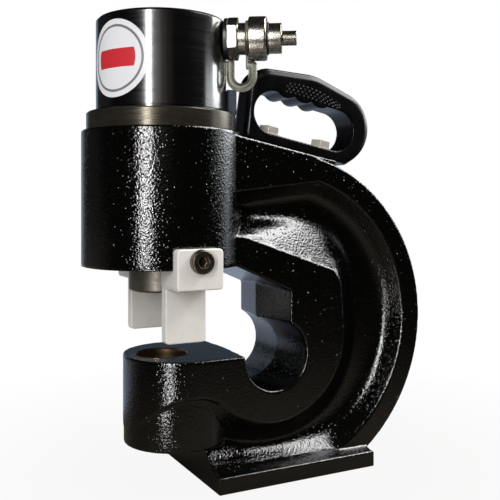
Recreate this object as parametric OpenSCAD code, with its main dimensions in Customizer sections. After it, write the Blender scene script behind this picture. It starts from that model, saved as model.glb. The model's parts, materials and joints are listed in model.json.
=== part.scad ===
// Hydraulic hole punch head: a cast C-frame with a die seat in its lower jaw, a steel cylinder
// screwed into its upper barrel, a spring-returned ram, two stripper brackets, a carrying handle
// and a quick coupler for the oil line.
// X runs from the ram axis to the back of the C, Y is sideways and Z is up from the foot.

/* [Frame] */
// Thickness of the C-frame across its rim and throat pads
frame_t = 92; // [84:1:100]
// Thickness of the web at the floor of the side channels
web_t = 56; // [46:1:62]
// Outer radius of the back of the C
back_r = 138.7; // [136:0.1:142]
// Distance from the ram axis to the centre of the back's arc
back_x = 86.7; // [84:0.1:89]
// Height of the centre of the back's arc above the floor
back_z = 123.5; // [122:0.1:126]
// Width of the rim round the back, on its face
rim_w = 18; // [14:0.5:22]
// Run of the slope from the rim's face down to the channel floor
rim_run = 11; // [8:0.5:14]
// Run of the slope from the throat pad's face down to the channel floor, round its lower bow
pad_run = 22; // [18:0.5:26]
// Radius of the upper back corner of that slope on the channel floor
pad_foot_r = 50; // [44:1:54]

/* [Throat] */
// Height of the lower jaw's top face
jaw_z = 100.3; // [98:0.1:104]
// Distance from the ram axis to the throat wall, at the faces
throat_d = 94.4; // [90:0.1:98]
// How far the casting's parting ridge stands out from the throat wall
ridge_h = 8.6; // [5:0.1:10]
// Slope of the throat's roof, down to the back
roof_angle = 23.8; // [20:0.1:27]
// Radius of the round relief at the foot of the throat wall, at the faces
relief_r = 28.3; // [26:0.1:30]
// Distance from the ram axis to the relief's centre
relief_x = 81; // [79:0.1:83]
// Depth of the relief's centre below the jaw's top face
relief_drop = 1.6; // [0.5:0.1:3]
// How much smaller the relief is at the parting ridge
relief_draft = 3; // [1:0.1:4]

/* [Jaw and foot] */
// Distance from the ram axis to the front of the nose
nose_front = 30; // [29:0.1:34]
// Height of the deep part of the jaw, from its top face
jaw_h = 33.3; // [30:0.1:36]
// Height of the nose's underside above the floor
nose_z = 30.2; // [27:0.1:33]
// How far the lower nose is set in at the sides of the jaw
nose_set = 4.5; // [2:0.1:7]
// Diameter of the die seat in the jaw
die_seat_d = 41; // [38:0.5:44]
// Depth of the die seat
die_seat_h = 35; // [30:0.5:40]
// Diameter of the slug hole under the die seat
slug_d = 27; // [24:0.5:30]
// Distance from the ram axis to the front end of the foot
foot_x = 25; // [24:0.5:28]
// Length of the foot
foot_l = 143; // [138:1:148]
// Width of the foot
foot_w = 115; // [110:1:122]
// Thickness of the foot at its edge
foot_t = 12.8; // [11:0.1:15]
// Radius of the flare from the web down to the foot
flare_r = 27; // [24:0.5:28]

/* [Barrel and cylinder] */
// Wall of the cast barrel round the cylinder
barrel_wall = 11.5; // [9:0.5:14]
// Height of the barrel's underside above the floor
barrel_z = 171.5; // [169:0.5:174]
// Height of the barrel
barrel_h = 106.7; // [104:0.1:110]
// Thickness of the barrel's floor
barrel_floor = 20.5; // [19:0.5:23]
// Bore of the steel cylinder
bore_d = 79; // [75:0.5:83]
// Wall of the steel cylinder
cyl_wall = 12.5; // [11:0.5:14]
// Height of the cylinder above the lock ring
head_h = 73.9; // [72:0.1:78]
// Thickness of the cylinder's closed top
head_t = 26; // [24:0.1:28]
// Wall of the lock ring
ring_wall = 7.6; // [6.5:0.1:9]
// Height of the lock ring
ring_h = 14.2; // [12:0.1:16]
// Height of the groove between the head and the lock ring
groove_h = 2.2; // [1.5:0.1:3]
// Depth of that groove
groove_t = 1.5; // [1:0.1:2]
// Radial thickness of the keeper block on the lock ring
key_t = 7.6; // [6:0.1:8]
// Width of the keeper block
key_w = 16; // [12:0.5:20]
// Height of the keeper block
key_h = 20; // [16:0.5:24]

/* [Ram] */
// Room between the ram and the cylinder's bore, for the spring and the stop tube
spring_room = 13.5; // [12.5:0.1:14.5]
// How far the ram stands out of the barrel at rest
ram_out = 20; // [16:0.5:24]
// Travel of the ram
stroke = 25; // [20:0.5:28]
// Diameter of the punch socket in the ram's end
socket_d = 25; // [22:0.5:28]
// Depth of the punch socket
socket_h = 30; // [26:0.5:34]
// Height of the piston
piston_h = 26; // [24:0.5:28]
// Gap from the piston to the closed top at rest
top_gap = 2.3; // [1:0.1:4]
// Diameter of the ram's spigot in the piston
spigot_d = 30; // [26:0.5:34]
// Thickness of the piston over the ram's spigot
piston_cap = 4; // [3:0.5:6]
// Height of the piston seal
seal_h = 7; // [5:0.5:8]
// Height of the piston's guide ring
guide_h = 6; // [5:0.5:7]
// Depth of the grooves for the seal and the guide ring
seal_t = 5; // [4:0.5:6]
// Wall of the ram's gland bush
gland_t = 5; // [4:0.5:6]
// Height of the gland bush's flange
gland_flange_h = 8; // [6:0.5:10]
// Height of the ram's wiper
wiper_h = 4; // [3:0.5:5]
// Wall of the tube that stops the piston at the end of its stroke
stop_t = 2.5; // [2:0.1:3]
// Wire diameter of the return spring
spring_wire = 6; // [5:0.1:6.5]
// Turns of the return spring
spring_turns = 7; // [6:1:8]

/* [Strippers] */
// Width of a stripper's upper tab
tab_w = 36.6; // [34:0.1:39]
// Height of a stripper's upper tab
tab_h = 30.3; // [28:0.1:32]
// Thickness of a stripper's upper tab
tab_t = 13.8; // [12:0.1:15]
// Depth of the flats on the barrel that the tabs seat on
tab_depth = 7.5; // [6.5:0.1:9]
// Height of a stripper's step under the barrel
step_h = 14.2; // [12:0.1:16]
// Width of a stripper's leg
leg_w = 32.6; // [30:0.1:35]
// Thickness of a stripper's leg
leg_t = 9.2; // [8:0.1:10]
// Gap from the ram to the inner face of a leg
leg_gap = 9.5; // [8:0.1:11]
// Room for the sheet between the jaw and the strippers
sheet_gap = 14.7; // [12:0.1:17]
// Offset of the strippers toward the back of the C
strip_x = 4; // [1:0.1:5]
// How far a stripper's leg is set toward the front of its tab
leg_shift = 1.2; // [0:0.1:2]
// Radius of the corners of tabs and legs
strip_r = 3; // [2:0.1:4]
// Thread diameter of the stripper screws
strip_screw_d = 10; // [8:1:10]
// Length of the thread in the barrel
strip_screw_l = 18; // [14:0.5:19]
// Height of the stripper screws above the barrel's underside
strip_screw_z = 7; // [6.5:0.1:9]

/* [Handle] */
// Thickness of the handle
grip_t = 28; // [24:0.5:32]
// Height of the hand hole
hole_h = 36.4; // [34:0.1:39]
// Length of the hand hole
hole_l = 101.4; // [98:0.1:104]
// Thickness of the grip above the hand hole
grip_h = 24.6; // [22:0.1:27]
// Thickness of the handle's base bar
base_h = 9; // [8:0.1:11]
// Thickness of the handle's rear bow
bow_w = 18; // [16:0.1:20]
// Thickness of the handle's front post
post_w = 6.8; // [6:0.1:8]
// Radius of the handle's outer edges
grip_round = 6; // [4:0.5:8]
// Slope of the handle seat, down to the back
seat_angle = 11.2; // [10:0.1:12]
// Depth of the handle seat below the barrel's top, at the barrel's edge
seat_drop = 1.6; // [1:0.1:3]
// How far the handle seat stands above the frame's shoulder
seat_rise = 5.6; // [4:0.1:7]
// Distance along the seat from the barrel to the hand hole
hole_start = 9.1; // [8:0.1:11]
// Number of finger bumps under the grip
bump_n = 3; // [1:1:4]
// Pitch of the finger bumps
bump_pitch = 17.3; // [15:0.1:18]
// Radius of the finger bumps
bump_r = 11; // [9:0.5:13]
// How far the finger bumps stand into the hand hole
bump_h = 3; // [2:0.1:4]
// Distance from the front of the hand hole to the first handle bolt
bolt_lead = 24; // [20:0.5:26]
// Distance between the handle bolts
bolt_pitch = 53.4; // [50:0.1:56]
// Thread diameter of the handle bolts
grip_bolt_d = 10; // [8:1:10]
// Depth of the handle bolts in the frame
grip_bolt_l = 20; // [16:0.5:24]

/* [Coupler] */
// Direction of the oil coupler, from the back of the C to the near side
port_angle = 32; // [28:1:36]
// Depth of the coupler's axis below the top of the cylinder
port_drop = 14.1; // [13:0.1:16]
// Thread diameter of the oil port
port_d = 16; // [14:0.5:17]
// Room round the hexagon's corners in its spotface
spot_room = 2.4; // [1.5:0.1:3.5]
// Depth of that spotface
spot_h = 0.6; // [0.5:0.1:1.5]
// Width of the adapter's hexagon across its flats
hex_af = 30; // [28:0.5:32]
// Length of the adapter's hexagon
hex_l = 7.8; // [7:0.1:9]
// Diameter of the adapter's neck
neck_d = 25.2; // [24.5:0.1:27]
// Length of the adapter's neck
neck_l = 8.2; // [7:0.1:10]
// Diameter of the coupler's sleeve
sleeve_d = 35; // [33:0.5:37]
// Length of the coupler's sleeve
sleeve_l = 14.4; // [13:0.1:16]
// Diameter of the coupler's body
body_d = 24; // [22:0.1:25]
// Length of the coupler's body, with the part inside the sleeve
body_l = 26.4; // [24:0.1:28]
// Diameter of the coupler's tip
tip_d = 11.6; // [10:0.1:13]
// Length of the coupler's tip
tip_l = 11.9; // [11:0.1:14]
// Diameter of the oil gallery in the cylinder's closed top
gallery_d = 5; // [4:0.5:6]
// Diameter of the oil passage
oil_d = 6.4; // [5:0.1:7]
// Diameter of the feed hole through the adapter
feed_d = 2.2; // [1.6:0.1:2.4]
// Thickness of the dust cap's strap
strap_d = 6; // [5:0.1:6.4]
// Width of the strap's loop, between the middles of its legs
strap_w = 18; // [16:0.1:19]
// Length of the straight part of the loop's legs, below the run from the ring
strap_l = 8.9; // [6:0.1:11]
// Travel of the coupler's valve poppet
poppet_travel = 3; // [2:0.1:3.5]

/* [Hidden] */
$fn = 96;

// Every cut runs past the face it opens by this much
overrun = 2;
// Sliding fits, on the radius
run_fit = 0.04;
// Screwed and pressed fits, on the radius
seat_fit = 0.02;
// Gap between two pieces that move past each other
move_gap = 0.4;
// Facets of rounded parts that are blended as hulls
blend_fn = 64;

// Frame
half_t = frame_t / 2;
half_web = web_t / 2;
rim_in = back_r - rim_w;
rim_floor = rim_in - rim_run;
foot_mid = foot_x + foot_l / 2;
bore_r = bore_d / 2;
cyl_r = bore_r + cyl_wall;
barrel_r = cyl_r + barrel_wall;
ring_r = cyl_r + ring_wall;
barrel_top = barrel_z + barrel_h;
pocket_z = barrel_z + barrel_floor;
ring_top = barrel_top + ring_h;
head_top = ring_top + head_h;
// The rim's arc, from inside the foot up to the handle seat
rim_start = -66;
rim_end = 80;
// Top edge of the side channel: height at the barrel and rise to the back
channel_lift = 58;
channel_top = barrel_z + channel_lift;
channel_rise = 6.6;
channel_x = 40;
// Throat pad: centre and radius of its lower bow, and its upper back corner
pad_x = 79.7;
pad_z = 111.5;
pad_r = 65.3;
pad_corner_r = 14;
pad_corner_x = 128.4;
pad_corner_drop = 20.1;
pad_corner_z = barrel_z - pad_corner_drop;
pad_top_x = 46;
pad_top_lift = 9;
pad_top_z = barrel_z + pad_top_lift;
pad_foot_x = 110;
pad_foot_drop = 13;
pad_foot_z = barrel_z - pad_foot_drop;
pad_foot_top_r = 30;
// How far the throat's cut runs past the front and the faces
throat_room = 60;
roof_room = 40;
relief_z = jaw_z - relief_drop;
ridge_x = throat_d - ridge_h;
roof_drop = 21.6;
roof_back_z = barrel_z - roof_drop;
roof_x = throat_d - roof_drop / tan(roof_angle);
// The wall's draft carried past the faces, so that the cut leaves them clean
wall_y = half_t + overrun;
wall_x = ridge_x + ridge_h * wall_y / half_t;
relief_grow = relief_draft * overrun / half_t;
// Nose of the jaw
nose_r = half_t;
nose_x = nose_r - nose_front;
low_nose_r = nose_r - nose_set;
nose_draft = 0.4;
nose_blend_l = 45;
nose_arch_x = 10;
nose_arch_rise = 4.4;
nose_arch_r = jaw_z - jaw_h + nose_arch_rise - nose_z;
web_front = 12;
// Small step where two slopes of the casting meet
cast_step = 0.5;
// Boss that carries the handle along the top of the rim
boss_w = 34;
boss_l = 94.5;
boss_back = barrel_r + boss_l;
boss_h = 48.6;
boss_low = barrel_top - boss_h - seat_drop;
boss_gap = 0.5;
boss_front = ring_r + boss_gap;

// Ram and cylinder
ram_r = bore_r - spring_room;
chamber_top = head_top - head_t;
piston_top = chamber_top - top_gap;
piston_z = piston_top - piston_h;
ram_z = barrel_z - ram_out;
spigot_h = piston_h - piston_cap;
seal_place_share = 0.58;
guide_place_share = 0.15;
seal_z = piston_z + piston_h * seal_place_share;
guide_z = piston_z + piston_h * guide_place_share;
gland_r = ram_r + gland_t;
gland_flange_top = pocket_z + gland_flange_h;
spring_r = bore_r - spring_room / 2;
ram_chamfer = 1.5;
head_chamfer = 2;
edge_chamfer = 1;
// Set screws
grub_d = 8;
punch_grub_z = 9;
die_grub_l = 16;
die_grub_drop = 16;
socket_drive_share = 0.5;

// Strippers
tab_seat = barrel_r - tab_depth;
leg_in = ram_r + leg_gap;
tab_top = barrel_z + tab_h - step_h;
leg_z = jaw_z + sheet_gap;
step_z = barrel_z - step_h;
strip_head_d = 18;
strip_head_h = 6;
tab_gap = 0.3;

// Handle
bolt_af_share = 1.6;
bolt_head_share = 0.62;
washer_share = 2;
washer_r = grip_bolt_d * washer_share / 2;
washer_t = 1.6;
hole_r = hole_h / 2;
seat_x = barrel_r;
seat_z = barrel_top - seat_drop;
shoulder_z = seat_z - seat_rise;
bolt_front = hole_start + bolt_lead;
bolt_rear = bolt_front + bolt_pitch;
// Crown of the grip, its front corner and its rear bow: places from the front of the hand hole
crown_share = 0.53;
crown_r = 48;
front_r = 19;
bow_shift = 3;
bow_r = hole_r + bow_w - bow_shift;
toe_r = 4;
toe_step = 3;
toe_inset_share = 0.5;
bow_lift = 3.5;
// First finger bump
bump_start = 28;

// Coupler, measured along its own axis from the ram's axis
port_z = head_top - port_drop;
port_r = port_d / 2;
thread_l = 14;
port_x = cyl_r - thread_l;
gallery_share = 0.75;
gallery_x = bore_r * gallery_share;
spot_d = hex_af / cos(30) + 2 * spot_room;
spot_x = cyl_r - spot_h;
hex_turn = 3;
bonded_t = 3;
bonded_w = 8.5;
hex_x = spot_x + bonded_t;
neck_x = hex_x + hex_l;
body_x = neck_x + neck_l;
tail_d = 14;
tail_l = 9;
tip_x = body_x + body_l;
tip_end = tip_x + tip_l;
sleeve_end_gap = 0.3;
sleeve_x = body_x + sleeve_end_gap;
clip_t = 1.2;
clip_h = 0.9;
clip_gap = 0.3;
poppet_head_l = 3.5;
poppet_stem_d = 2.6;
poppet_out = 0.6;
poppet_wire = 0.7;
poppet_turns = 5;
adapter_end_gap = 1;

// Where the channel's top edge runs into the rim
channel_end = back_x + rim_in * cos(rim_end) + rim_run;
// Where the handle seat runs into the back's arc
seat_end_angle = 76.5;
seat_end = back_x + back_r * cos(seat_end_angle);
overlap_angle = 4;
rim_end_x = back_x + (rim_in + back_r) / 2 * cos(rim_end - overlap_angle);
rim_end_z = back_z + (rim_in + back_r) / 2 * sin(rim_end - overlap_angle);

// Thin edge of the flare that runs level to the side of the foot
foot_lip = 0.2;

// Keeper block on the ring, held by one screw from above
key_screw_d = 4;
key_screw_l = 9;
key_head_d = 6.4;
key_head_h = 4;
key_gap = 0.3;
key_angle = 19;

// Snap ring that holds the sleeve on the coupler's body
clip_x = sleeve_x + sleeve_l + clip_gap;

// Strap: a ring on the end of the adapter's neck, a short run under the sleeve and a hanging loop
strap_ring_t = 1.5;
strap_ring_gap = 0.1;
strap_gap = 0.6;
strap_reach = 3.3;
strap_ring_w = 1.4;
strap_lie = sleeve_d / 2 + strap_gap + strap_d / 2;
strap_out = body_x + strap_reach;
strap_in = strap_out - strap_w;
strap_ring_x = body_x - strap_ring_t - strap_ring_gap;
strap_free = hex_af / 2 / cos(30) + strap_gap;

// Counts round each curl of a spring
curl_rings = 8;
curl_sides = 6;
// Gap between the closed end turns of a spring
coil_room = 0.5;

// Puts a module drawn about the ram axis into the part's own frame, over the middle of the foot
module on_frame() {
    translate([-foot_mid, 0, 0]) children();
}

// Extrudes an outline drawn in X and Z across the frame, half to each side
module across(width) {
    rotate([90, 0, 0]) linear_extrude(width, center = true) children();
}

// Runs its children out along the coupler's axis
module along_port() {
    translate([0, 0, port_z]) rotate([0, 0, -port_angle]) rotate([0, 90, 0]) children();
}

// A plain ring
module ring(outer_r, inner_r, height) {
    difference() {
        cylinder(r = outer_r, h = height);
        translate([0, 0, -overrun]) cylinder(r = inner_r, h = height + 2 * overrun);
    }
}

// A round bar with a chamfer on its upper edge
module capped_bar(radius, height, chamfer) {
    rotate_extrude() polygon([
        [0, 0], [radius, 0], [radius, height - chamfer], [radius - chamfer, height], [0, height]
    ]);
}

// A socket-head grub screw along +Z
module grub(diameter, length) {
    drive = diameter * socket_drive_share;
    difference() {
        cylinder(d = diameter, h = length);
        translate([0, 0, length - drive]) cylinder(d = drive, h = drive + overrun, $fn = 6);
    }
}

// Points of a helix: radius, rise and turns, with one closed turn at each end
function coil_height(t, turns, rise, wire) =
    let (lead = wire + coil_room, run = rise - 2 * lead, mid = turns - 2)
    t < 1 ? t * lead : t > turns - 1 ? rise - (turns - t) * lead : lead + (t - 1) * run / mid;
function coil_point(t, r, turns, rise, wire) =
    [r * cos(360 * t), r * sin(360 * t), coil_height(t, turns, rise, wire)];

// One unbroken coiled wire
module coil(r, rise, turns, wire) {
    rings = turns * curl_rings;
    points = [
        for (i = [0:rings], k = [0:curl_sides - 1])
            let (
                t = i / curl_rings,
                p = coil_point(t, r, turns, rise, wire),
                a = 360 * k / curl_sides,
                out = wire / 2 * cos(a)
            )
            [p[0] + out * cos(360 * t), p[1] + out * sin(360 * t), p[2] + wire / 2 * sin(a)]
    ];
    sides = [
        for (i = [0:rings - 1], k = [0:curl_sides - 1])
            let (
                a = i * curl_sides + k,
                b = i * curl_sides + (k + 1) % curl_sides,
                c = a + curl_sides,
                d = b + curl_sides
            )
            each [[a, b, d], [a, d, c]]
    ];
    first = [for (k = [1:curl_sides - 2]) [0, k + 1, k]];
    base = rings * curl_sides;
    last = [for (k = [1:curl_sides - 2]) [base, base + k, base + k + 1]];
    polyhedron(points, concat(sides, first, last));
}

// Least gap between neighbouring curls of a coil, from points one turn apart
function coil_gap(rise, turns, wire) =
    min([
        for (i = [0:(turns - 1) * curl_rings])
            let (t = i / curl_rings)
            coil_height(t + 1, turns, rise, wire) - coil_height(t, turns, rise, wire)
    ]) - wire;

// Outline of the web: the disc inside the rim, cut off at the nose and the foot
module web_outline() {
    intersection() {
        translate([back_x, back_z]) circle(r = back_r - rim_w / 2);
        polygon([
            [web_front, nose_z], [foot_x, nose_z], [foot_x, 0], [back_x + back_r, 0],
            [back_x + back_r, shoulder_at(back_x + back_r)], [seat_x, shoulder_z], [web_front, shoulder_z]
        ]);
    }
}

// Rim round the back, with the channel's sloping wall on each side
module back_rim() {
    difference() {
        translate([back_x, 0, back_z]) rotate([90, 0, 0])
            rotate_extrude(angle = rim_end - rim_start, start = rim_start) polygon([
                [rim_floor, half_web], [rim_in, half_t], [back_r, half_t],
                [back_r, -half_t], [rim_in, -half_t], [rim_floor, -half_web]
            ]);
        translate([0, -frame_t, -back_r]) cube([back_x + back_r, 2 * frame_t, back_r]);
    }
}

// Height of the sloping handle seat at a distance from the ram axis
function seat_at(x) = seat_z - (x - seat_x) * tan(seat_angle);
function shoulder_at(x) = seat_at(x) - seat_rise;
function channel_at(x) = channel_top + (x - channel_x) * tan(channel_rise);
// Bar over the channel, from the barrel to the rim, with the handle seat on top
module top_bar() {
    bar_wall = half_t - cast_step;
    across(frame_t) polygon([
        [channel_x, channel_at(channel_x)], [channel_end, channel_at(channel_end)],
        [rim_end_x, rim_end_z], [seat_end, shoulder_at(seat_end)], [channel_x, shoulder_at(channel_x)]
    ]);
    translate([channel_x, 0, channel_at(channel_x)]) rotate([0, -channel_rise, 0]) rotate([90, 0, 90])
        linear_extrude((channel_end - channel_x) / cos(channel_rise)) polygon([
            [-bar_wall, rim_run], [-bar_wall, 0], [-half_web, -rim_run], [half_web, -rim_run],
            [bar_wall, 0], [bar_wall, rim_run]
        ]);
    across(boss_w) polygon([
        [boss_front, seat_at(boss_front) + overrun], [boss_back, seat_at(boss_back) + overrun],
        [boss_back, boss_low], [boss_front, boss_low]
    ]);
}

// Face of the throat pad: a bow round the relief, an upper back corner and a front end in the barrel
module pad_face() {
    translate([pad_x, pad_z]) circle(r = pad_r, $fn = blend_fn);
    translate([pad_corner_x, pad_corner_z]) circle(r = pad_corner_r, $fn = blend_fn);
    translate([pad_top_x, pad_top_z]) circle(r = pad_corner_r, $fn = blend_fn);
}

// Foot of the pad's slope on the channel floor
module pad_foot() {
    translate([pad_x, pad_z]) circle(r = pad_r + pad_run, $fn = blend_fn);
    translate([pad_foot_x, pad_foot_z]) circle(r = pad_foot_r, $fn = blend_fn);
    translate([pad_top_x, pad_top_z]) circle(r = pad_foot_top_r, $fn = blend_fn);
}

// Thick pad round the throat, with slopes down to the channel floor on both sides
module throat_pad() {
    hull() {
        across(frame_t) pad_face();
        across(web_t) pad_foot();
    }
}

// Rounded nose that holds the die, with an arched recess low on each side
module nose() {
    difference() {
        union() {
            translate([0, 0, nose_z]) linear_extrude(jaw_z - nose_z) intersection() {
                translate([nose_x, 0]) circle(r = nose_r);
                translate([-nose_front, -nose_r]) square([nose_front + nose_x + overrun, 2 * nose_r]);
            }
            translate([nose_x, -nose_r, jaw_z - jaw_h]) cube([nose_blend_l, 2 * nose_r, jaw_h]);
        }
        across(2 * (nose_r + overrun)) translate([nose_arch_x, nose_z]) circle(r = nose_arch_r);
    }
    translate([low_nose_r - nose_front + nose_draft, 0, nose_z])
        cylinder(r = low_nose_r, h = nose_arch_r + nose_arch_rise);
}

// Foot with its concave flare up to the web
module foot() {
    half_w = foot_w / 2;
    flare_z = foot_t + flare_r;
    flare_y = half_web + flare_r + cast_step;
    translate([foot_x, 0, 0]) rotate([90, 0, 90]) linear_extrude(foot_l) difference() {
        polygon([[-half_w, 0], [half_w, 0], [half_w, flare_z], [-half_w, flare_z]]);
        for (side = [-1, 1]) translate([side * flare_y, flare_z]) circle(r = flare_r);
        for (side = [-1, 1]) translate([side * (flare_y + flare_r / 2), flare_z])
            square([flare_r, 2 * flare_r - 2 * foot_lip], center = true);
    }
}

// Opening of the throat: roof, drafted wall and round relief
module throat_cut() {
    intersection() {
        across(frame_t + 2 * throat_room) polygon([
            [-throat_room, jaw_z], [throat_d + throat_room, jaw_z],
            [throat_d + throat_room, roof_back_z - throat_room * tan(roof_angle)],
            [roof_x, barrel_z], [-throat_room, barrel_z]
        ]);
        translate([0, 0, jaw_z - overrun]) linear_extrude(barrel_z - jaw_z + roof_room) polygon([
            [-2 * throat_room, -wall_y], [wall_x, -wall_y], [ridge_x, 0], [wall_x, wall_y],
            [-2 * throat_room, wall_y]
        ]);
    }
    translate([relief_x, 0, relief_z]) for (side = [-1, 1]) rotate([side * 90, 0, 0])
        cylinder(r1 = relief_r - relief_draft, r2 = relief_r + relief_grow, h = half_t + overrun);
}

// Flats milled on both sides of the barrel for the stripper tabs
module tab_flats() {
    for (side = [0, 1]) mirror([0, side, 0])
        translate([strip_x - tab_w / 2 - tab_gap, tab_seat, barrel_z - overrun])
            cube([tab_w + 2 * tab_gap, barrel_r, tab_top - barrel_z + tab_gap + overrun]);
}

// Room above the handle seat, milled off the back of the casting
module seat_cut() {
    on_seat(-barrel_r) translate([0, -frame_t, 0]) cube([2 * (barrel_r + hole_l), 2 * frame_t, 2 * back_r]);
}

// Holes for the stripper screws, the handle bolts and the die's set screw
module frame_holes() {
    for (side = [-1, 1]) translate([strip_x, 0, barrel_z + strip_screw_z]) rotate([side * 90, 0, 0])
        translate([0, 0, tab_seat - strip_screw_l]) cylinder(d = strip_screw_d, h = strip_screw_l + overrun);
    for (x = [bolt_front, bolt_rear]) on_seat(x) translate([0, 0, -grip_bolt_l])
        cylinder(d = grip_bolt_d, h = grip_bolt_l + overrun);
    translate([0, 0, jaw_z - die_grub_drop]) rotate([-90, 0, 0])
        cylinder(d = grub_d, h = nose_r + overrun);
}

// Places its children on the handle seat, square to it, at a distance along it from the barrel
module on_seat(along) {
    translate([seat_x, 0, seat_z]) rotate([0, seat_angle, 0]) translate([along, 0, 0]) children();
}

module c_frame() {
    color("#1b1b1c") on_frame() difference() {
        union() {
            across(web_t) web_outline();
            difference() {
                union() {
                    back_rim();
                    top_bar();
                }
                seat_cut();
            }
            throat_pad();
            nose();
            foot();
            translate([0, 0, barrel_z]) cylinder(r = barrel_r, h = barrel_h);
        }
        throat_cut();
        tab_flats();
        frame_holes();
        translate([0, 0, pocket_z]) cylinder(r = cyl_r + seat_fit, h = barrel_h);
        translate([0, 0, barrel_z - overrun])
            cylinder(r = gland_r + seat_fit, h = barrel_floor + 2 * overrun);
        translate([0, 0, jaw_z - die_seat_h]) cylinder(d = die_seat_d, h = die_seat_h + overrun);
        translate([0, 0, nose_z - overrun]) cylinder(d = slug_d, h = jaw_z - nose_z);
    }
}

module cylinder_body() {
    color("#2b2c2e") on_frame() difference() {
        union() {
            translate([0, 0, pocket_z]) cylinder(r = cyl_r, h = ring_top - pocket_z);
            translate([0, 0, ring_top - overrun]) cylinder(r = cyl_r - groove_t, h = groove_h + 2 * overrun);
            translate([0, 0, ring_top + groove_h]) capped_bar(cyl_r, head_h - groove_h, head_chamfer);
        }
        translate([0, 0, pocket_z - overrun]) cylinder(r = bore_r, h = chamber_top - pocket_z + overrun);
        along_port() translate([0, 0, port_x]) cylinder(r = port_r, h = cyl_r);
        along_port() translate([0, 0, gallery_x]) cylinder(d = gallery_d, h = cyl_r - gallery_x);
        along_port() translate([0, 0, gallery_x]) rotate([0, 90, 0]) cylinder(d = gallery_d, h = head_t);
        along_port() translate([0, 0, spot_x]) cylinder(d = spot_d, h = cyl_r);
    }
}

module lock_ring() {
    color("#2a2b2d") on_frame() difference() {
        translate([0, 0, barrel_top]) rotate_extrude() polygon([
            [cyl_r + seat_fit, 0], [ring_r, 0], [ring_r, ring_h - edge_chamfer],
            [ring_r - edge_chamfer, ring_h], [cyl_r + seat_fit, ring_h]
        ]);
        key_place() translate([0, 0, -key_screw_l]) cylinder(d = key_screw_d, h = key_screw_l + overrun);
    }
}

module key_place() {
    rotate([0, 0, -key_angle]) translate([cyl_r + key_gap + key_t / 2, 0, ring_top]) children();
}

module ring_key() {
    color("#7d838a") on_frame() key_place() difference() {
        translate([-key_t / 2, -key_w / 2, 0]) cube([key_t, key_w, key_h]);
        translate([0, 0, -overrun]) cylinder(d = key_screw_d, h = key_h + 2 * overrun);
        translate([0, 0, key_h - key_head_h])
            cylinder(r = key_head_d / 2 + seat_fit, h = key_head_h + overrun);
    }
}

module key_screw() {
    color("#55585c") on_frame() key_place() {
        translate([0, 0, -key_screw_l]) cylinder(d = key_screw_d - 2 * seat_fit,
            h = key_screw_l + key_h - key_head_h + edge_chamfer);
        translate([0, 0, key_h - key_head_h]) grub(key_head_d, key_head_h);
    }
}

module ram() {
    color("#6e6c68") on_frame() difference() {
        union() {
            translate([0, 0, ram_z + ram_chamfer]) cylinder(r = ram_r, h = piston_z - ram_z - ram_chamfer);
            translate([0, 0, ram_z]) cylinder(r1 = ram_r - ram_chamfer, r2 = ram_r, h = ram_chamfer);
            translate([0, 0, piston_z - overrun]) cylinder(d = spigot_d, h = spigot_h + overrun);
        }
        translate([0, 0, ram_z - overrun]) cylinder(d = socket_d, h = socket_h + overrun);
        translate([0, 0, ram_z + punch_grub_z]) rotate([-90, 0, 0])
            cylinder(d = grub_d, h = ram_r + overrun);
    }
}

// Groove round the piston
module piston_groove(z, height) {
    translate([0, 0, z]) ring(bore_r + overrun, bore_r - seal_t, height);
}

module piston() {
    color("#8b8d90") on_frame() difference() {
        translate([0, 0, piston_z]) cylinder(r = bore_r - move_gap, h = piston_h);
        translate([0, 0, piston_z - overrun]) cylinder(r = spigot_d / 2 + seat_fit, h = spigot_h + overrun);
        piston_groove(seal_z, seal_h);
        piston_groove(guide_z, guide_h);
    }
}

module piston_seal() {
    color("#2f4a3a") on_frame() translate([0, 0, seal_z]) ring(bore_r - run_fit, bore_r - seal_t, seal_h);
}

module piston_guide() {
    color("#b58b4a") on_frame() translate([0, 0, guide_z]) ring(bore_r - run_fit, bore_r - seal_t, guide_h);
}

module gland_bush() {
    color("#b08a4e") on_frame() difference() {
        union() {
            translate([0, 0, barrel_z + wiper_h])
                cylinder(r = gland_r, h = pocket_z - barrel_z - wiper_h + overrun);
            translate([0, 0, pocket_z]) cylinder(r = bore_r - move_gap, h = gland_flange_h);
        }
        translate([0, 0, barrel_z]) cylinder(r = ram_r + run_fit, h = gland_flange_top);
    }
}

module rod_wiper() {
    color("#3a3f45") on_frame() translate([0, 0, barrel_z])
        ring(gland_r, ram_r + run_fit, wiper_h);
}

// A tube in the bore, standing on the gland bush round the spring, that stops the piston
module stop_tube() {
    stop_r = bore_r - move_gap;
    color("#84878b") on_frame() translate([0, 0, gland_flange_top])
        ring(stop_r, stop_r - stop_t, piston_z - gland_flange_top - stroke - move_gap);
}

spring_rise = piston_z - gland_flange_top - spring_wire;
echo(return_spring_gap = coil_gap(spring_rise, spring_turns, spring_wire));

module return_spring() {
    color("#77797c") on_frame() translate([0, 0, gland_flange_top + spring_wire / 2])
        coil(spring_r, spring_rise, spring_turns, spring_wire);
}

module punch_set_screw() {
    color("#3c3d3f") on_frame() translate([0, 0, ram_z + punch_grub_z]) rotate([-90, 0, 0])
        translate([0, 0, socket_d / 2]) grub(grub_d - 2 * seat_fit, ram_r - socket_d / 2 - edge_chamfer);
}

module die_set_screw() {
    color("#3c3d3f") on_frame() translate([0, 0, jaw_z - die_grub_drop]) rotate([-90, 0, 0])
        translate([0, 0, die_seat_d / 2]) grub(grub_d - 2 * seat_fit, die_grub_l);
}

// Outline of a stripper as seen square to its tab, with rounded corners
module rounded_plate(width, height, radius) {
    for (x = [-1, 1]) translate([x * (width / 2 - radius), radius]) circle(r = radius);
    for (x = [-1, 1]) translate([x * (width / 2 - radius), height - radius]) circle(r = radius);
    translate([-width / 2, radius]) square([width, height - 2 * radius]);
    translate([-width / 2 + radius, 0]) square([width - 2 * radius, height]);
}

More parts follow.
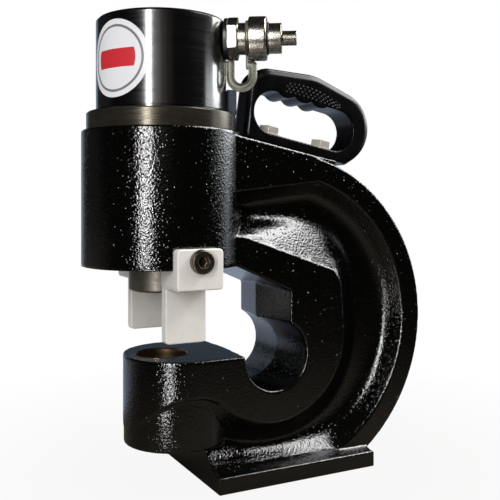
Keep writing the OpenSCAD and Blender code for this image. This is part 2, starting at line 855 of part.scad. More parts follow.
// One Z-shaped stripper on the -Y side of the ram
module stripper() {
    tab_out = tab_seat + tab_t;
    difference() {
        intersection() {
            translate([strip_x, 0, 0]) across(2 * (tab_out + overrun)) {
                translate([0, step_z]) rounded_plate(tab_w, tab_h, strip_r);
                translate([-leg_shift, leg_z]) rounded_plate(leg_w, step_z + step_h - leg_z, strip_r);
            }
            translate([strip_x - tab_w, 0, 0]) rotate([90, 0, 90]) linear_extrude(2 * tab_w) polygon([
                [-tab_out, tab_top], [-tab_seat, tab_top], [-tab_seat, barrel_z], [-leg_in, barrel_z],
                [-leg_in, leg_z], [-leg_in - leg_t, leg_z], [-leg_in - leg_t, step_z], [-tab_out, step_z]
            ]);
        }
        translate([strip_x, 0, barrel_z + strip_screw_z]) rotate([90, 0, 0])
            translate([0, 0, tab_seat - overrun]) cylinder(d = strip_screw_d, h = tab_t + 2 * overrun);
    }
}

module stripper_near() {
    color("#d9d6d1") on_frame() stripper();
}

module stripper_far() {
    color("#d9d6d1") on_frame() mirror([0, 1, 0]) stripper();
}

// Both sides of a stripper fastening, along its screw's axis from the tab's face
module at_tabs() {
    for (side = [-1, 1]) translate([strip_x, 0, barrel_z + strip_screw_z]) rotate([side * 90, 0, 0])
        translate([0, 0, tab_seat + tab_t]) children();
}

module stripper_screws() {
    drive = strip_head_d * socket_drive_share;
    color("#8d8880") on_frame() at_tabs() difference() {
        union() {
            translate([0, 0, -tab_t - strip_screw_l]) cylinder(d = strip_screw_d - 2 * seat_fit,
                h = tab_t + strip_screw_l + overrun);
            capped_bar(strip_head_d / 2, strip_head_h, edge_chamfer);
        }
        translate([0, 0, strip_head_h - drive / 2]) cylinder(d = drive, h = drive, $fn = 6);
    }
}

// Hand hole, drawn along the seat: X from the hole's front, Y from the base bar's top
module hand_hole() {
    difference() {
        hull() {
            translate([hole_r, hole_r]) circle(r = hole_r, $fn = blend_fn);
            translate([hole_l - hole_r, hole_r]) circle(r = hole_r, $fn = blend_fn);
        }
        for (i = [0:bump_n - 1]) translate([bump_start + i * bump_pitch, hole_h + bump_r - bump_h])
            circle(r = bump_r, $fn = blend_fn);
    }
}

// Corners of the handle's outside, drawn in by an inset: front toe, front corner, crown and bow
module handle_outline(inset) {
    translate([toe_step - post_w + toe_r, toe_r - base_h])
        circle(r = toe_r - inset * toe_inset_share, $fn = blend_fn);
    translate([front_r - post_w, hole_h]) circle(r = front_r - inset, $fn = blend_fn);
    translate([hole_l * crown_share, hole_h + grip_h - crown_r]) circle(r = crown_r - inset, $fn = blend_fn);
    translate([hole_l + bow_w - bow_r, hole_r + bow_lift]) circle(r = bow_r - inset, $fn = blend_fn);
}

// A moulded loop with rounded edges, cut flat where it seats on the frame
module handle_grip() {
    color("#151516") on_frame() on_seat(hole_start) translate([0, 0, base_h]) difference() {
        hull() {
            across(grip_t - 2 * grip_round) handle_outline(0);
            across(grip_t - 2 * grip_round * (1 - cos(45))) handle_outline(grip_round * (1 - cos(45)));
            across(grip_t) handle_outline(grip_round);
        }
        across(grip_t + overrun) hand_hole();
        translate([-hole_l, -grip_t, -base_h - bow_r]) cube([3 * hole_l, 2 * grip_t, bow_r]);
        for (x = [bolt_front, bolt_rear]) translate([x - hole_start, 0, 0]) {
            translate([0, 0, -base_h - overrun]) cylinder(d = grip_bolt_d, h = base_h + 2 * overrun);
            cylinder(r = washer_r + move_gap, h = grip_bolt_d);
        }
    }
}

module handle_bolts() {
    color("#c9c7c2") on_frame() for (x = [bolt_front, bolt_rear]) on_seat(x) {
        translate([0, 0, -grip_bolt_l])
            cylinder(d = grip_bolt_d - 2 * seat_fit, h = grip_bolt_l + base_h + washer_t);
        translate([0, 0, base_h + washer_t]) cylinder(d = grip_bolt_d * bolt_af_share / cos(30),
            h = grip_bolt_d * bolt_head_share, $fn = 6);
    }
}

module handle_washers() {
    color("#bdbbb6") on_frame() for (x = [bolt_front, bolt_rear]) on_seat(x) translate([0, 0, base_h])
        ring(washer_r, grip_bolt_d / 2, washer_t);
}

module coupler_seal() {
    color("#6a6f72") on_frame() along_port() translate([0, 0, spot_x])
        ring(port_r + bonded_w, port_r, bonded_t);
}

module coupler_adapter() {
    color("#c4c1ba") on_frame() along_port() difference() {
        union() {
            translate([0, 0, port_x + adapter_end_gap])
                cylinder(r = port_r - seat_fit, h = hex_x - port_x - adapter_end_gap + overrun);
            translate([0, 0, hex_x]) rotate([0, 0, hex_turn])
                cylinder(d = hex_af / cos(30), h = hex_l, $fn = 6);
            translate([0, 0, neck_x - overrun]) cylinder(d = neck_d, h = neck_l + overrun);
            translate([0, 0, body_x - overrun]) cylinder(d = tail_d, h = tail_l + overrun);
        }
        translate([0, 0, port_x]) cylinder(d = feed_d, h = tip_end);
    }
}

module coupler_body() {
    color("#bcb6ac") on_frame() along_port() difference() {
        union() {
            translate([0, 0, body_x]) cylinder(d = body_d, h = body_l);
            translate([0, 0, tip_x - overrun]) cylinder(d = tip_d, h = tip_l + overrun);
        }
        translate([0, 0, body_x - overrun]) cylinder(r = tail_d / 2 + seat_fit, h = tail_l + overrun);
        translate([0, 0, body_x]) cylinder(d = oil_d, h = tip_end);
        translate([0, 0, clip_x]) ring(body_d, body_d / 2 - clip_h, clip_t);
    }
}

// Rubber strap of the dust cap: its ring, its run under the sleeve and its loop with a free end
module cap_strap() {
    strap_r = strap_d / 2;
    loop_r = strap_w / 2;
    color("#2d2d2a") on_frame() along_port() {
        difference() {
            union() {
                translate([0, 0, strap_ring_x]) cylinder(r = neck_d / 2 + strap_ring_w, h = strap_ring_t);
                translate([0, -strap_r, strap_ring_x]) cube([strap_lie, strap_d, strap_ring_t]);
                translate([strap_lie, 0, strap_ring_x]) cylinder(r = strap_r, h = strap_out - strap_ring_x);
            }
            translate([0, 0, hex_x]) cylinder(r = neck_d / 2 + seat_fit, h = tip_end);
        }
        translate([strap_lie, 0, strap_out]) sphere(r = strap_r);
        translate([strap_lie, 0, strap_out]) rotate([0, 90, 0]) cylinder(r = strap_r, h = strap_l);
        translate([strap_lie + strap_l, 0, strap_out - loop_r]) rotate([90, 0, 0])
            rotate_extrude(angle = 180, start = -90) translate([loop_r, 0]) circle(r = strap_r);
        translate([strap_free, 0, strap_in]) rotate([0, 90, 0])
            cylinder(r = strap_r, h = strap_lie + strap_l - strap_free);
    }
}

module sleeve_clip() {
    color("#5f6164") on_frame() along_port() translate([0, 0, clip_x])
        ring(body_d / 2 + clip_h, body_d / 2 - clip_h, clip_t);
}

module coupler_sleeve() {
    color("#b7aea4") on_frame() along_port() translate([0, 0, sleeve_x]) rotate_extrude() polygon([
        [body_d / 2 + run_fit, 0], [sleeve_d / 2 - edge_chamfer, 0], [sleeve_d / 2, edge_chamfer],
        [sleeve_d / 2, sleeve_l - edge_chamfer], [sleeve_d / 2 - edge_chamfer, sleeve_l],
        [body_d / 2 + run_fit, sleeve_l]
    ]);
}

// The poppet's spring stands on the end of the adapter's tail, which also stops the poppet's stem
poppet_spring_x = body_x + tail_l;
poppet_head_x = tip_end - poppet_out - poppet_head_l;
poppet_stem_x = poppet_spring_x + poppet_travel + move_gap;
poppet_spring_rise = poppet_head_x - poppet_spring_x - poppet_wire;
echo(poppet_spring_gap = coil_gap(poppet_spring_rise, poppet_turns, poppet_wire));

module coupler_poppet() {
    color("#a8a59e") on_frame() along_port() {
        translate([0, 0, poppet_head_x]) cylinder(d = oil_d - 2 * run_fit, h = poppet_head_l);
        translate([0, 0, poppet_stem_x])
            cylinder(d = poppet_stem_d, h = poppet_head_x - poppet_stem_x + poppet_head_l / 2);
    }
}

module poppet_spring() {
    color("#8f8d88") on_frame() along_port() translate([0, 0, poppet_spring_x + poppet_wire / 2])
        coil((oil_d + poppet_stem_d) / 4, poppet_spring_rise, poppet_turns, poppet_wire);
}

c_frame();
cylinder_body();
lock_ring();
ring_key();
key_screw();
ram();
piston();
piston_seal();
piston_guide();
gland_bush();
rod_wiper();
stop_tube();
return_spring();
punch_set_screw();
die_set_screw();
stripper_near();
stripper_far();
stripper_screws();
handle_grip();
handle_bolts();
handle_washers();
coupler_seal();
coupler_adapter();
coupler_body();
coupler_sleeve();
sleeve_clip();
cap_strap();
coupler_poppet();
poppet_spring();
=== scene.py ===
"""Looks of a portable hydraulic punch head: finishes, softened edges and studio."""

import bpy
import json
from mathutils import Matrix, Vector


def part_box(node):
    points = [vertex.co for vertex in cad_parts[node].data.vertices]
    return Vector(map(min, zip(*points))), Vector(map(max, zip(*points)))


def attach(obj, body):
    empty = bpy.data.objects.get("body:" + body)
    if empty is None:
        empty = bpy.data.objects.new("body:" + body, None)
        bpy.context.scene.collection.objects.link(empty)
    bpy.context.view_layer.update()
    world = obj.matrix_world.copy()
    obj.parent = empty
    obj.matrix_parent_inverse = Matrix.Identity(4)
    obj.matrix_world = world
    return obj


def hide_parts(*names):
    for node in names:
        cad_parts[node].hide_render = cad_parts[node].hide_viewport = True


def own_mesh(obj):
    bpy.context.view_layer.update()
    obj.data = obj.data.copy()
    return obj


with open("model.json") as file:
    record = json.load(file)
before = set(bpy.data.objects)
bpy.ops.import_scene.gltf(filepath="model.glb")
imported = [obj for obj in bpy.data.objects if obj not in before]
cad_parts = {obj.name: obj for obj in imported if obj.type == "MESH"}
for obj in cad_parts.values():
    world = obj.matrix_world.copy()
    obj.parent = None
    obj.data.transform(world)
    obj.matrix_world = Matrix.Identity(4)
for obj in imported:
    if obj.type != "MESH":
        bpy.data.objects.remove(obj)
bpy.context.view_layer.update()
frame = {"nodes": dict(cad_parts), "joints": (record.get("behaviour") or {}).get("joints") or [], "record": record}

import json
import logging
import math
from dataclasses import dataclass
from enum import Enum
from typing import Any, Iterable, Optional, Sequence

import bpy
from mathutils import Matrix, Vector

LOG = logging.getLogger("punch_head")
MM = 0.001
FULL_TURN = 2 * math.pi
WELD = 1e-6
FLAT_ANGLE = 0.5
ROUND_PROFILE = 0.5
SMOOTH_FACTOR = 0.5
ROUND_SIDES = 72
WIRE_SIDES = 12
STEPS_PER_TURN = 48
# Most values of a noise texture lie between these two
NOISE_LOW = 0.3
NOISE_HIGH = 0.7
# Inputs of a Mix node: its factor, then two numbers or two colours; outputs: number or colour
FACTOR, NUMBER_A, NUMBER_B, COLOUR_A, COLOUR_B = 0, 2, 3, 6, 7
MIXED_NUMBER, MIXED_COLOUR = 0, 2
WHITE = (1.0, 1.0, 1.0, 1.0)


class Body(Enum):
    """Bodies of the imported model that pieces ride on."""

    FRAME = "frame"
    RAM = "ram_unit"
    SLEEVE = "sleeve"
    POPPET = "poppet"


class Pattern(Enum):
    """How the marks of a finish run over its surface."""

    TURNED = "turned"
    GROUND = "ground"
    BLASTED = "blasted"


# Length of one tool mark; a blasted skin has none
LINE_LENGTH_MM = {Pattern.TURNED: 60.0, Pattern.GROUND: 24.0}


def linear(code: str) -> tuple[float, float, float, float]:
    """Turn an sRGB hex code into a linear colour.

    Args:
        code: Six hex digits after a hash sign.

    Returns:
        Linear red, green, blue and an alpha of 1.
    """
    channels = [int(code[i:i + 2], 16) / 255 for i in (1, 3, 5)]
    toe, slope, lift, gamma = 0.04045, 12.92, 0.055, 2.4
    values = [c / slope if c <= toe else ((c + lift) / (1 + lift)) ** gamma for c in channels]
    return (values[0], values[1], values[2], 1.0)


def add_node(tree: bpy.types.NodeTree, kind: str, inputs: Optional[dict[Any, Any]] = None,
             **settings: Any) -> bpy.types.Node:
    """Add one node with its settings and links.

    Args:
        tree: Node tree that gets the node.
        kind: Blender's node type.
        inputs: Socket names or numbers with a constant or a socket to link.
        **settings: Properties set on the node itself.

    Returns:
        The new node.
    """
    node = tree.nodes.new(kind)
    for key, value in settings.items():
        setattr(node, key, value)
    for key, value in (inputs or {}).items():
        if isinstance(value, bpy.types.NodeSocket):
            tree.links.new(value, node.inputs[key])
        else:
            node.inputs[key].default_value = value
    return node


def per_metre(size_mm: float) -> float:
    """Texture scale whose features are about a size in millimetres."""
    return 1 / (size_mm * MM)


@dataclass(frozen=True)
class Axis:
    """A line that turned pieces share."""

    point: Vector
    direction: Vector

    def matrix(self) -> Matrix:
        """Matrix that stands local Z on this line."""
        turn = self.direction.to_track_quat("Z", "Y").to_matrix().to_4x4()
        return Matrix.Translation(self.point) @ turn

    def span(self, node: str) -> tuple[float, float]:
        """Lowest and highest station of a CAD node along this line.

        Args:
            node: Name of the CAD node.

        Returns:
            Both stations in metres from the axis point.
        """
        stations = [(v.co - self.point).dot(self.direction) for v in frame["nodes"][node].data.vertices]
        return min(stations), max(stations)


def joint(name: str) -> dict[str, Any]:
    """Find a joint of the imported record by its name."""
    return next(row for row in frame["joints"] if row["name"] == name)


def head_axis() -> Axis:
    """Find the vertical axis of barrel, cylinder and ram.

    Returns:
        The axis, with its point on the floor.
    """
    low, high = (Vector(corner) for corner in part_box("ram"))
    middle = (low + high) / 2
    return Axis(Vector((middle.x, middle.y, 0)), Vector((0, 0, 1)))


def coupler_axis() -> Axis:
    """Find the level axis of the oil coupler.

    Returns:
        The axis, with its point nearest to the head's axis.
    """
    row = joint("sleeve_turn")
    direction = Vector(row["axis"]).normalized()
    pivot = Vector(row["pos_m"])
    start = head_axis().point
    along = (Vector((pivot.x, pivot.y, 0)) - start).dot(direction)
    return Axis(pivot - direction * along, direction)


class Bench:
    """Hand tools: each method is one way of making or finishing a mesh."""

    @staticmethod
    def clear() -> None:
        """Deselect everything."""
        for obj in bpy.context.selected_objects:
            obj.select_set(False)

    @staticmethod
    def take(piece: bpy.types.Object) -> None:
        """Select one piece alone and make it active.

        Args:
            piece: Object that the next operator acts on.
        """
        Bench.clear()
        piece.select_set(True)
        bpy.context.view_layer.objects.active = piece

    @staticmethod
    def copy_node(node: str, name: str) -> bpy.types.Object:
        """Copy a CAD node as a new piece and merge its loose triangles.

        Args:
            node: Name of the CAD node.
            name: Name of the new piece.

        Returns:
            The welded copy, with its place in its mesh.
        """
        mesh = frame["nodes"][node].data.copy()
        mesh.materials.clear()
        piece = bpy.data.objects.new(name, mesh)
        bpy.context.scene.collection.objects.link(piece)
        Bench.take(piece)
        bpy.ops.object.mode_set(mode="EDIT")
        bpy.ops.mesh.select_all(action="SELECT")
        bpy.ops.mesh.remove_doubles(threshold=WELD)
        bpy.ops.object.mode_set(mode="OBJECT")
        return piece

    @staticmethod
    def modify(piece: bpy.types.Object, kind: str, **settings: Any) -> None:
        """Add a modifier with its settings and apply it.

        Args:
            piece: Object that is changed.
            kind: Blender's modifier type.
            **settings: Properties of the modifier.
        """
        Bench.take(piece)
        modifier = piece.modifiers.new(kind.lower(), kind)
        for key, value in settings.items():
            setattr(modifier, key, value)
        bpy.ops.object.modifier_apply(modifier=modifier.name)

    @staticmethod
    def soften(piece: bpy.types.Object, width_mm: float, segments: int = 2, sharp: float = 32.0) -> None:
        """Bevel the sharp edges of a welded copy; its large faces then keep their true normals.

        Args:
            piece: Welded copy of a CAD node, or a new piece.
            width_mm: Width of the bevel.
            segments: Steps across the bevel.
            sharp: Least angle, in degrees, of an edge that is bevelled.
        """
        Bench.take(piece)
        bpy.ops.object.mode_set(mode="EDIT")
        bpy.ops.mesh.select_all(action="SELECT")
        bpy.ops.mesh.dissolve_limited(angle_limit=math.radians(FLAT_ANGLE))
        bpy.ops.mesh.select_mode(type="EDGE")
        bpy.ops.mesh.select_all(action="DESELECT")
        bpy.ops.mesh.edges_select_sharp(sharpness=math.radians(sharp))
        bpy.ops.mesh.bevel(offset=width_mm * MM, segments=segments, profile=ROUND_PROFILE,
                           clamp_overlap=True)
        bpy.ops.mesh.select_all(action="SELECT")
        bpy.ops.mesh.remove_doubles(threshold=WELD)
        bpy.ops.mesh.select_mode(type="VERT")
        bpy.ops.object.mode_set(mode="OBJECT")
        Bench.smooth(piece)
        Bench.modify(piece, "WEIGHTED_NORMAL", keep_sharp=True)

    @staticmethod
    def smooth(piece: bpy.types.Object, angle: float = 34.0) -> None:
        """Shade a piece smooth up to an angle in degrees."""
        Bench.take(piece)
        bpy.ops.object.shade_smooth_by_angle(angle=math.radians(angle))

    @staticmethod
    def melt(piece: bpy.types.Object, voxel_mm: float, passes: int) -> None:
        """Round a piece all over, as casting or moulding does.

        Args:
            piece: Welded, closed copy of a CAD node.
            voxel_mm: Size of the remesh grid.
            passes: Smoothing passes after it.
        """
        Bench.modify(piece, "REMESH", mode="VOXEL", voxel_size=voxel_mm * MM, use_smooth_shade=True)
        Bench.modify(piece, "SMOOTH", factor=SMOOTH_FACTOR, iterations=passes)

    @staticmethod
    def thin(piece: bpy.types.Object, triangles: int) -> None:
        """Thin out the mesh of a melted piece and shade it smooth.

        Args:
            piece: Melted piece, made of four-sided faces.
            triangles: Most triangles that are left.
        """
        count = 2 * len(piece.data.polygons)
        if count > triangles:
            Bench.modify(piece, "DECIMATE", ratio=triangles / count)
        Bench.take(piece)
        bpy.ops.object.shade_smooth()

    @staticmethod
    def lathe(name: str, profile: Sequence[tuple[float, float]], axis: Axis,
              steps: int = 96) -> bpy.types.Object:
        """Spin a profile round an axis.

        Args:
            name: Name of the new piece.
            profile: Radius and station of each corner, in metres.
            axis: Axis of the turned piece.
            steps: Steps round the full turn.

        Returns:
            The turned piece, closed at its poles.
        """
        Bench.clear()
        bpy.ops.mesh.primitive_plane_add(size=MM)
        piece = bpy.context.object
        piece.name = name
        bpy.ops.object.mode_set(mode="EDIT")
        bpy.ops.mesh.select_all(action="SELECT")
        bpy.ops.mesh.merge(type="CENTER")
        bpy.ops.transform.translate(value=(profile[0][0], 0, profile[0][1]))
        for (radius, station), (radius_before, station_before) in zip(profile[1:], profile):
            step = (radius - radius_before, 0, station - station_before)
            bpy.ops.mesh.extrude_vertices_move(TRANSFORM_OT_translate={"value": step})
        bpy.ops.mesh.select_all(action="SELECT")
        bpy.ops.mesh.spin(steps=steps, angle=FULL_TURN, center=(0, 0, 0), axis=(0, 0, 1))
        bpy.ops.mesh.select_all(action="SELECT")
        bpy.ops.mesh.remove_doubles(threshold=WELD)
        bpy.ops.mesh.normals_make_consistent(inside=False)
        bpy.ops.object.mode_set(mode="OBJECT")
        piece.data.transform(axis.matrix())
        Bench.smooth(piece)
        return piece

    @staticmethod
    def coil(name: str, radius: float, wire: float, low: float, high: float, turns: float,
             axis: Axis) -> bpy.types.Object:
        """Wind a round wire into a spring with closed ends.

        Args:
            name: Name of the new piece.
            radius: Mean radius of the coil in metres.
            wire: Diameter of the wire in metres.
            low: Station of the coil's lower end.
            high: Station of its upper end.
            turns: Number of turns.
            axis: Axis of the spring.

        Returns:
            One unbroken tube with capped ends.
        """
        Bench.clear()
        bpy.ops.mesh.primitive_circle_add(vertices=WIRE_SIDES, radius=wire / 2, fill_type="NOTHING",
                                          location=(radius, 0, low + wire / 2),
                                          rotation=(math.pi / 2, 0, 0))
        piece = bpy.context.object
        piece.name = name
        bpy.ops.object.transform_apply(location=True, rotation=True, scale=True)
        rise = high - low - wire
        steps = int(STEPS_PER_TURN * turns)
        Bench.modify(piece, "SCREW", axis="Z", angle=FULL_TURN * turns, screw_offset=rise, iterations=1,
                     steps=steps, render_steps=steps, use_merge_vertices=True)
        Bench.take(piece)
        bpy.ops.object.mode_set(mode="EDIT")
        bpy.ops.mesh.select_all(action="DESELECT")
        bpy.ops.mesh.select_non_manifold()
        bpy.ops.mesh.fill_holes(sides=0)
        bpy.ops.mesh.select_all(action="SELECT")
        bpy.ops.mesh.normals_make_consistent(inside=False)
        bpy.ops.object.mode_set(mode="OBJECT")
        piece.data.transform(axis.matrix())
        Bench.smooth(piece)
        return piece


def place(piece: bpy.types.Object, body: Body, finish: bpy.types.Material,
          nodes: Iterable[str] = ()) -> bpy.types.Object:
    """Give a finished piece its body and finish, and report it.

    Args:
        piece: Finished object.
        body: Body that it rides on.
        finish: Material of the piece.
        nodes: CAD nodes that it stands for.

    Returns:
        The same object.
    """
    piece.data.materials.clear()
    piece.data.materials.append(finish)
    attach(piece, body.value)
    names = list(nodes)
    if names:
        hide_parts(*names)
    LOG.info("%s rides on %s, %d faces", piece.name, body.value, len(piece.data.polygons))
    return piece


@dataclass(frozen=True)
class Finish:
    """Common part of every finish: a name and a colour."""

    name: str
    colour: str

    def start(self) -> tuple[bpy.types.Material, bpy.types.NodeTree, bpy.types.Node,
                             bpy.types.NodeSocket]:
        """Open a new material.

        Returns:
            The material, its tree, its shader and the Object coordinates.
        """
        material = bpy.data.materials.new(self.name)
        material.use_nodes = True
        tree = material.node_tree
        shader = tree.nodes["Principled BSDF"]
        place_node = add_node(tree, "ShaderNodeTexCoord")
        return material, tree, shader, place_node.outputs["Object"]


@dataclass(frozen=True)
class Pimples:
    """One layer of round pimples under the enamel."""

    cell_mm: float
    reach: float
    height: float
    empty_share: float

    def build(self, tree: bpy.types.NodeTree, where: bpy.types.NodeSocket) -> bpy.types.NodeSocket:
        """Scatter the pimples over the surface.

        Args:
            tree: Node tree of the material.
            where: Object coordinates.

        Returns:
            Height of the pimples.
        """
        cells = add_node(tree, "ShaderNodeTexVoronoi", {"Vector": where, "Scale": per_metre(self.cell_mm)})
        dome = add_node(tree, "ShaderNodeMapRange",
                        {"Value": cells.outputs["Distance"], "From Max": self.reach,
                         "To Min": self.height, "To Max": 0.0}, interpolation_type="SMOOTHSTEP")
        lot = add_node(tree, "ShaderNodeSeparateColor", {0: cells.outputs["Color"]})
        kept = add_node(tree, "ShaderNodeMapRange",
                        {"Value": lot.outputs[0], "From Min": self.empty_share, "From Max": 1.0})
        size = add_node(tree, "ShaderNodeMath", {0: dome.outputs["Result"], 1: kept.outputs["Result"]},
                        operation="MULTIPLY")
        return size.outputs["Value"]


@dataclass(frozen=True)
class CastEnamel(Finish):
    """Gloss enamel brushed over an unmachined casting.

    The sand grain under the paint breaks every highlight into bright specks. It is drawn
    coarser than real sand, so that single specks show in the render.
    """

    drift: str = "#050504"
    worn: str = "#191713"
    drift_mm: float = 38.0
    edge: tuple[float, float] = (0.53, 0.62)
    gloss: tuple[float, float] = (0.06, 0.12)
    worn_roughness: float = 0.34
    grain_mm: float = 1.7
    grain_share: float = 0.75
    relief_mm: float = 0.5
    relief_share: float = 0.8
    ior: float = 1.7
    layers: tuple[Pimples, ...] = (Pimples(2.6, 0.34, 0.65, 0.0), Pimples(4.2, 0.2, 1.3, 0.4),
                                   Pimples(7.0, 0.12, 1.5, 0.35))

    def build(self) -> bpy.types.Material:
        """Make the material.

        Returns:
            The finished material.
        """
        material, tree, shader, where = self.start()
        drift = add_node(tree, "ShaderNodeTexNoise",
                         {"Vector": where, "Scale": per_metre(self.drift_mm), "Detail": 3.0})
        tint = add_node(tree, "ShaderNodeMix",
                        {FACTOR: drift.outputs["Fac"], COLOUR_A: linear(self.colour),
                         COLOUR_B: linear(self.drift)}, data_type="RGBA")
        shape = add_node(tree, "ShaderNodeNewGeometry")
        wear = add_node(tree, "ShaderNodeMapRange",
                        {"Value": shape.outputs["Pointiness"], "From Min": self.edge[0],
                         "From Max": self.edge[1]})
        rubbed = add_node(tree, "ShaderNodeMix",
                          {FACTOR: wear.outputs["Result"], COLOUR_A: tint.outputs[MIXED_COLOUR],
                           COLOUR_B: linear(self.worn)}, data_type="RGBA")
        tree.links.new(rubbed.outputs[MIXED_COLOUR], shader.inputs["Base Color"])
        rough = add_node(tree, "ShaderNodeMapRange",
                         {"Value": drift.outputs["Fac"], "From Min": NOISE_LOW, "From Max": NOISE_HIGH,
                          "To Min": self.gloss[0], "To Max": self.gloss[1]})
        dull = add_node(tree, "ShaderNodeMix",
                        {FACTOR: wear.outputs["Result"], NUMBER_A: rough.outputs["Result"],
                         NUMBER_B: self.worn_roughness})
        tree.links.new(dull.outputs[MIXED_NUMBER], shader.inputs["Roughness"])
        grain = add_node(tree, "ShaderNodeTexNoise",
                         {"Vector": where, "Scale": per_metre(self.grain_mm), "Detail": 2.0,
                          "Roughness": 0.5})
        height = add_node(tree, "ShaderNodeMath", {0: grain.outputs["Fac"], 1: self.grain_share},
                          operation="MULTIPLY")
        for layer in self.layers:
            height = add_node(tree, "ShaderNodeMath",
                              {0: height.outputs["Value"], 1: layer.build(tree, where)}, operation="ADD")
        bump = add_node(tree, "ShaderNodeBump",
                        {"Height": height.outputs["Value"], "Strength": self.relief_share,
                         "Distance": self.relief_mm * MM})
        tree.links.new(bump.outputs["Normal"], shader.inputs["Normal"])
        shader.inputs["IOR"].default_value = self.ior
        return material


@dataclass(frozen=True)
class Metal(Finish):
    """Bare or plated metal with turning lines, grinding lines or a blasted skin.

    The lines are drawn coarser than real tool marks, so that they show in the render.
    """

    roughness: float = 0.3
    metallic: float = 1.0
    pattern: Pattern = Pattern.GROUND
    line_mm: float = 0.9
    relief_mm: float = 0.02
    relief_share: float = 0.5
    stain: str = "#3a352c"
    stain_share: float = 0.25
    stain_mm: float = 11.0
    stain_edge: tuple[float, float] = (0.45, 0.75)
    spread: tuple[float, float] = (0.8, 1.25)
    ior: float = 1.5

    def build(self) -> bpy.types.Material:
        """Make the material.

        Returns:
            The finished material.
        """
        material, tree, shader, where = self.start()
        length = per_metre(LINE_LENGTH_MM.get(self.pattern, self.line_mm))
        stretch = (length, length, per_metre(self.line_mm))
        lay = add_node(tree, "ShaderNodeMapping", {"Vector": where, "Scale": stretch})
        lines = add_node(tree, "ShaderNodeTexNoise",
                         {"Vector": lay.outputs["Vector"], "Scale": 1.0, "Detail": 2.0})
        cloud = add_node(tree, "ShaderNodeTexNoise",
                         {"Vector": where, "Scale": per_metre(self.stain_mm), "Detail": 4.0,
                          "Roughness": 0.65})
        soil = add_node(tree, "ShaderNodeMapRange",
                        {"Value": cloud.outputs["Fac"], "From Min": self.stain_edge[0],
                         "From Max": self.stain_edge[1], "To Max": self.stain_share})
        tint = add_node(tree, "ShaderNodeMix",
                        {FACTOR: soil.outputs["Result"], COLOUR_A: linear(self.colour),
                         COLOUR_B: linear(self.stain)}, data_type="RGBA")
        tree.links.new(tint.outputs[MIXED_COLOUR], shader.inputs["Base Color"])
        rough = add_node(tree, "ShaderNodeMapRange",
                         {"Value": lines.outputs["Fac"], "From Min": NOISE_LOW, "From Max": NOISE_HIGH,
                          "To Min": self.roughness * self.spread[0],
                          "To Max": self.roughness * self.spread[1]})
        tree.links.new(rough.outputs["Result"], shader.inputs["Roughness"])
        bump = add_node(tree, "ShaderNodeBump",
                        {"Height": lines.outputs["Fac"], "Strength": self.relief_share,
                         "Distance": self.relief_mm * MM})
        tree.links.new(bump.outputs["Normal"], shader.inputs["Normal"])
        shader.inputs["Metallic"].default_value = self.metallic
        shader.inputs["IOR"].default_value = self.ior
        return material


@dataclass(frozen=True)
class Moulded(Finish):
    """Moulded polymer or rubber with a spark-eroded grain, drawn coarse enough to show."""

    roughness: float = 0.45
    grain_mm: float = 0.7
    relief_mm: float = 0.05
    relief_share: float = 0.4
    cloud: str = "#09090a"
    cloud_mm: float = 16.0
    spread: tuple[float, float] = (0.85, 1.2)
    clear_share: float = 0.0
    gloss_share: float = 0.5

    def build(self) -> bpy.types.Material:
        """Make the material.

        Returns:
            The finished material.
        """
        material, tree, shader, where = self.start()
        grain = add_node(tree, "ShaderNodeTexNoise",
                         {"Vector": where, "Scale": per_metre(self.grain_mm), "Detail": 2.0})
        cloud = add_node(tree, "ShaderNodeTexNoise",
                         {"Vector": where, "Scale": per_metre(self.cloud_mm), "Detail": 3.0})
        tint = add_node(tree, "ShaderNodeMix",
                        {FACTOR: cloud.outputs["Fac"], COLOUR_A: linear(self.colour),
                         COLOUR_B: linear(self.cloud)}, data_type="RGBA")
        tree.links.new(tint.outputs[MIXED_COLOUR], shader.inputs["Base Color"])
        shader.inputs["Transmission Weight"].default_value = self.clear_share
        shader.inputs["Specular IOR Level"].default_value = self.gloss_share
        rough = add_node(tree, "ShaderNodeMapRange",
                         {"Value": cloud.outputs["Fac"], "From Min": NOISE_LOW, "From Max": NOISE_HIGH,
                          "To Min": self.roughness * self.spread[0],
                          "To Max": self.roughness * self.spread[1]})
        tree.links.new(rough.outputs["Result"], shader.inputs["Roughness"])
        bump = add_node(tree, "ShaderNodeBump",
                        {"Height": grain.outputs["Fac"], "Strength": self.relief_share,
                         "Distance": self.relief_mm * MM})
        tree.links.new(bump.outputs["Normal"], shader.inputs["Normal"])
        return material


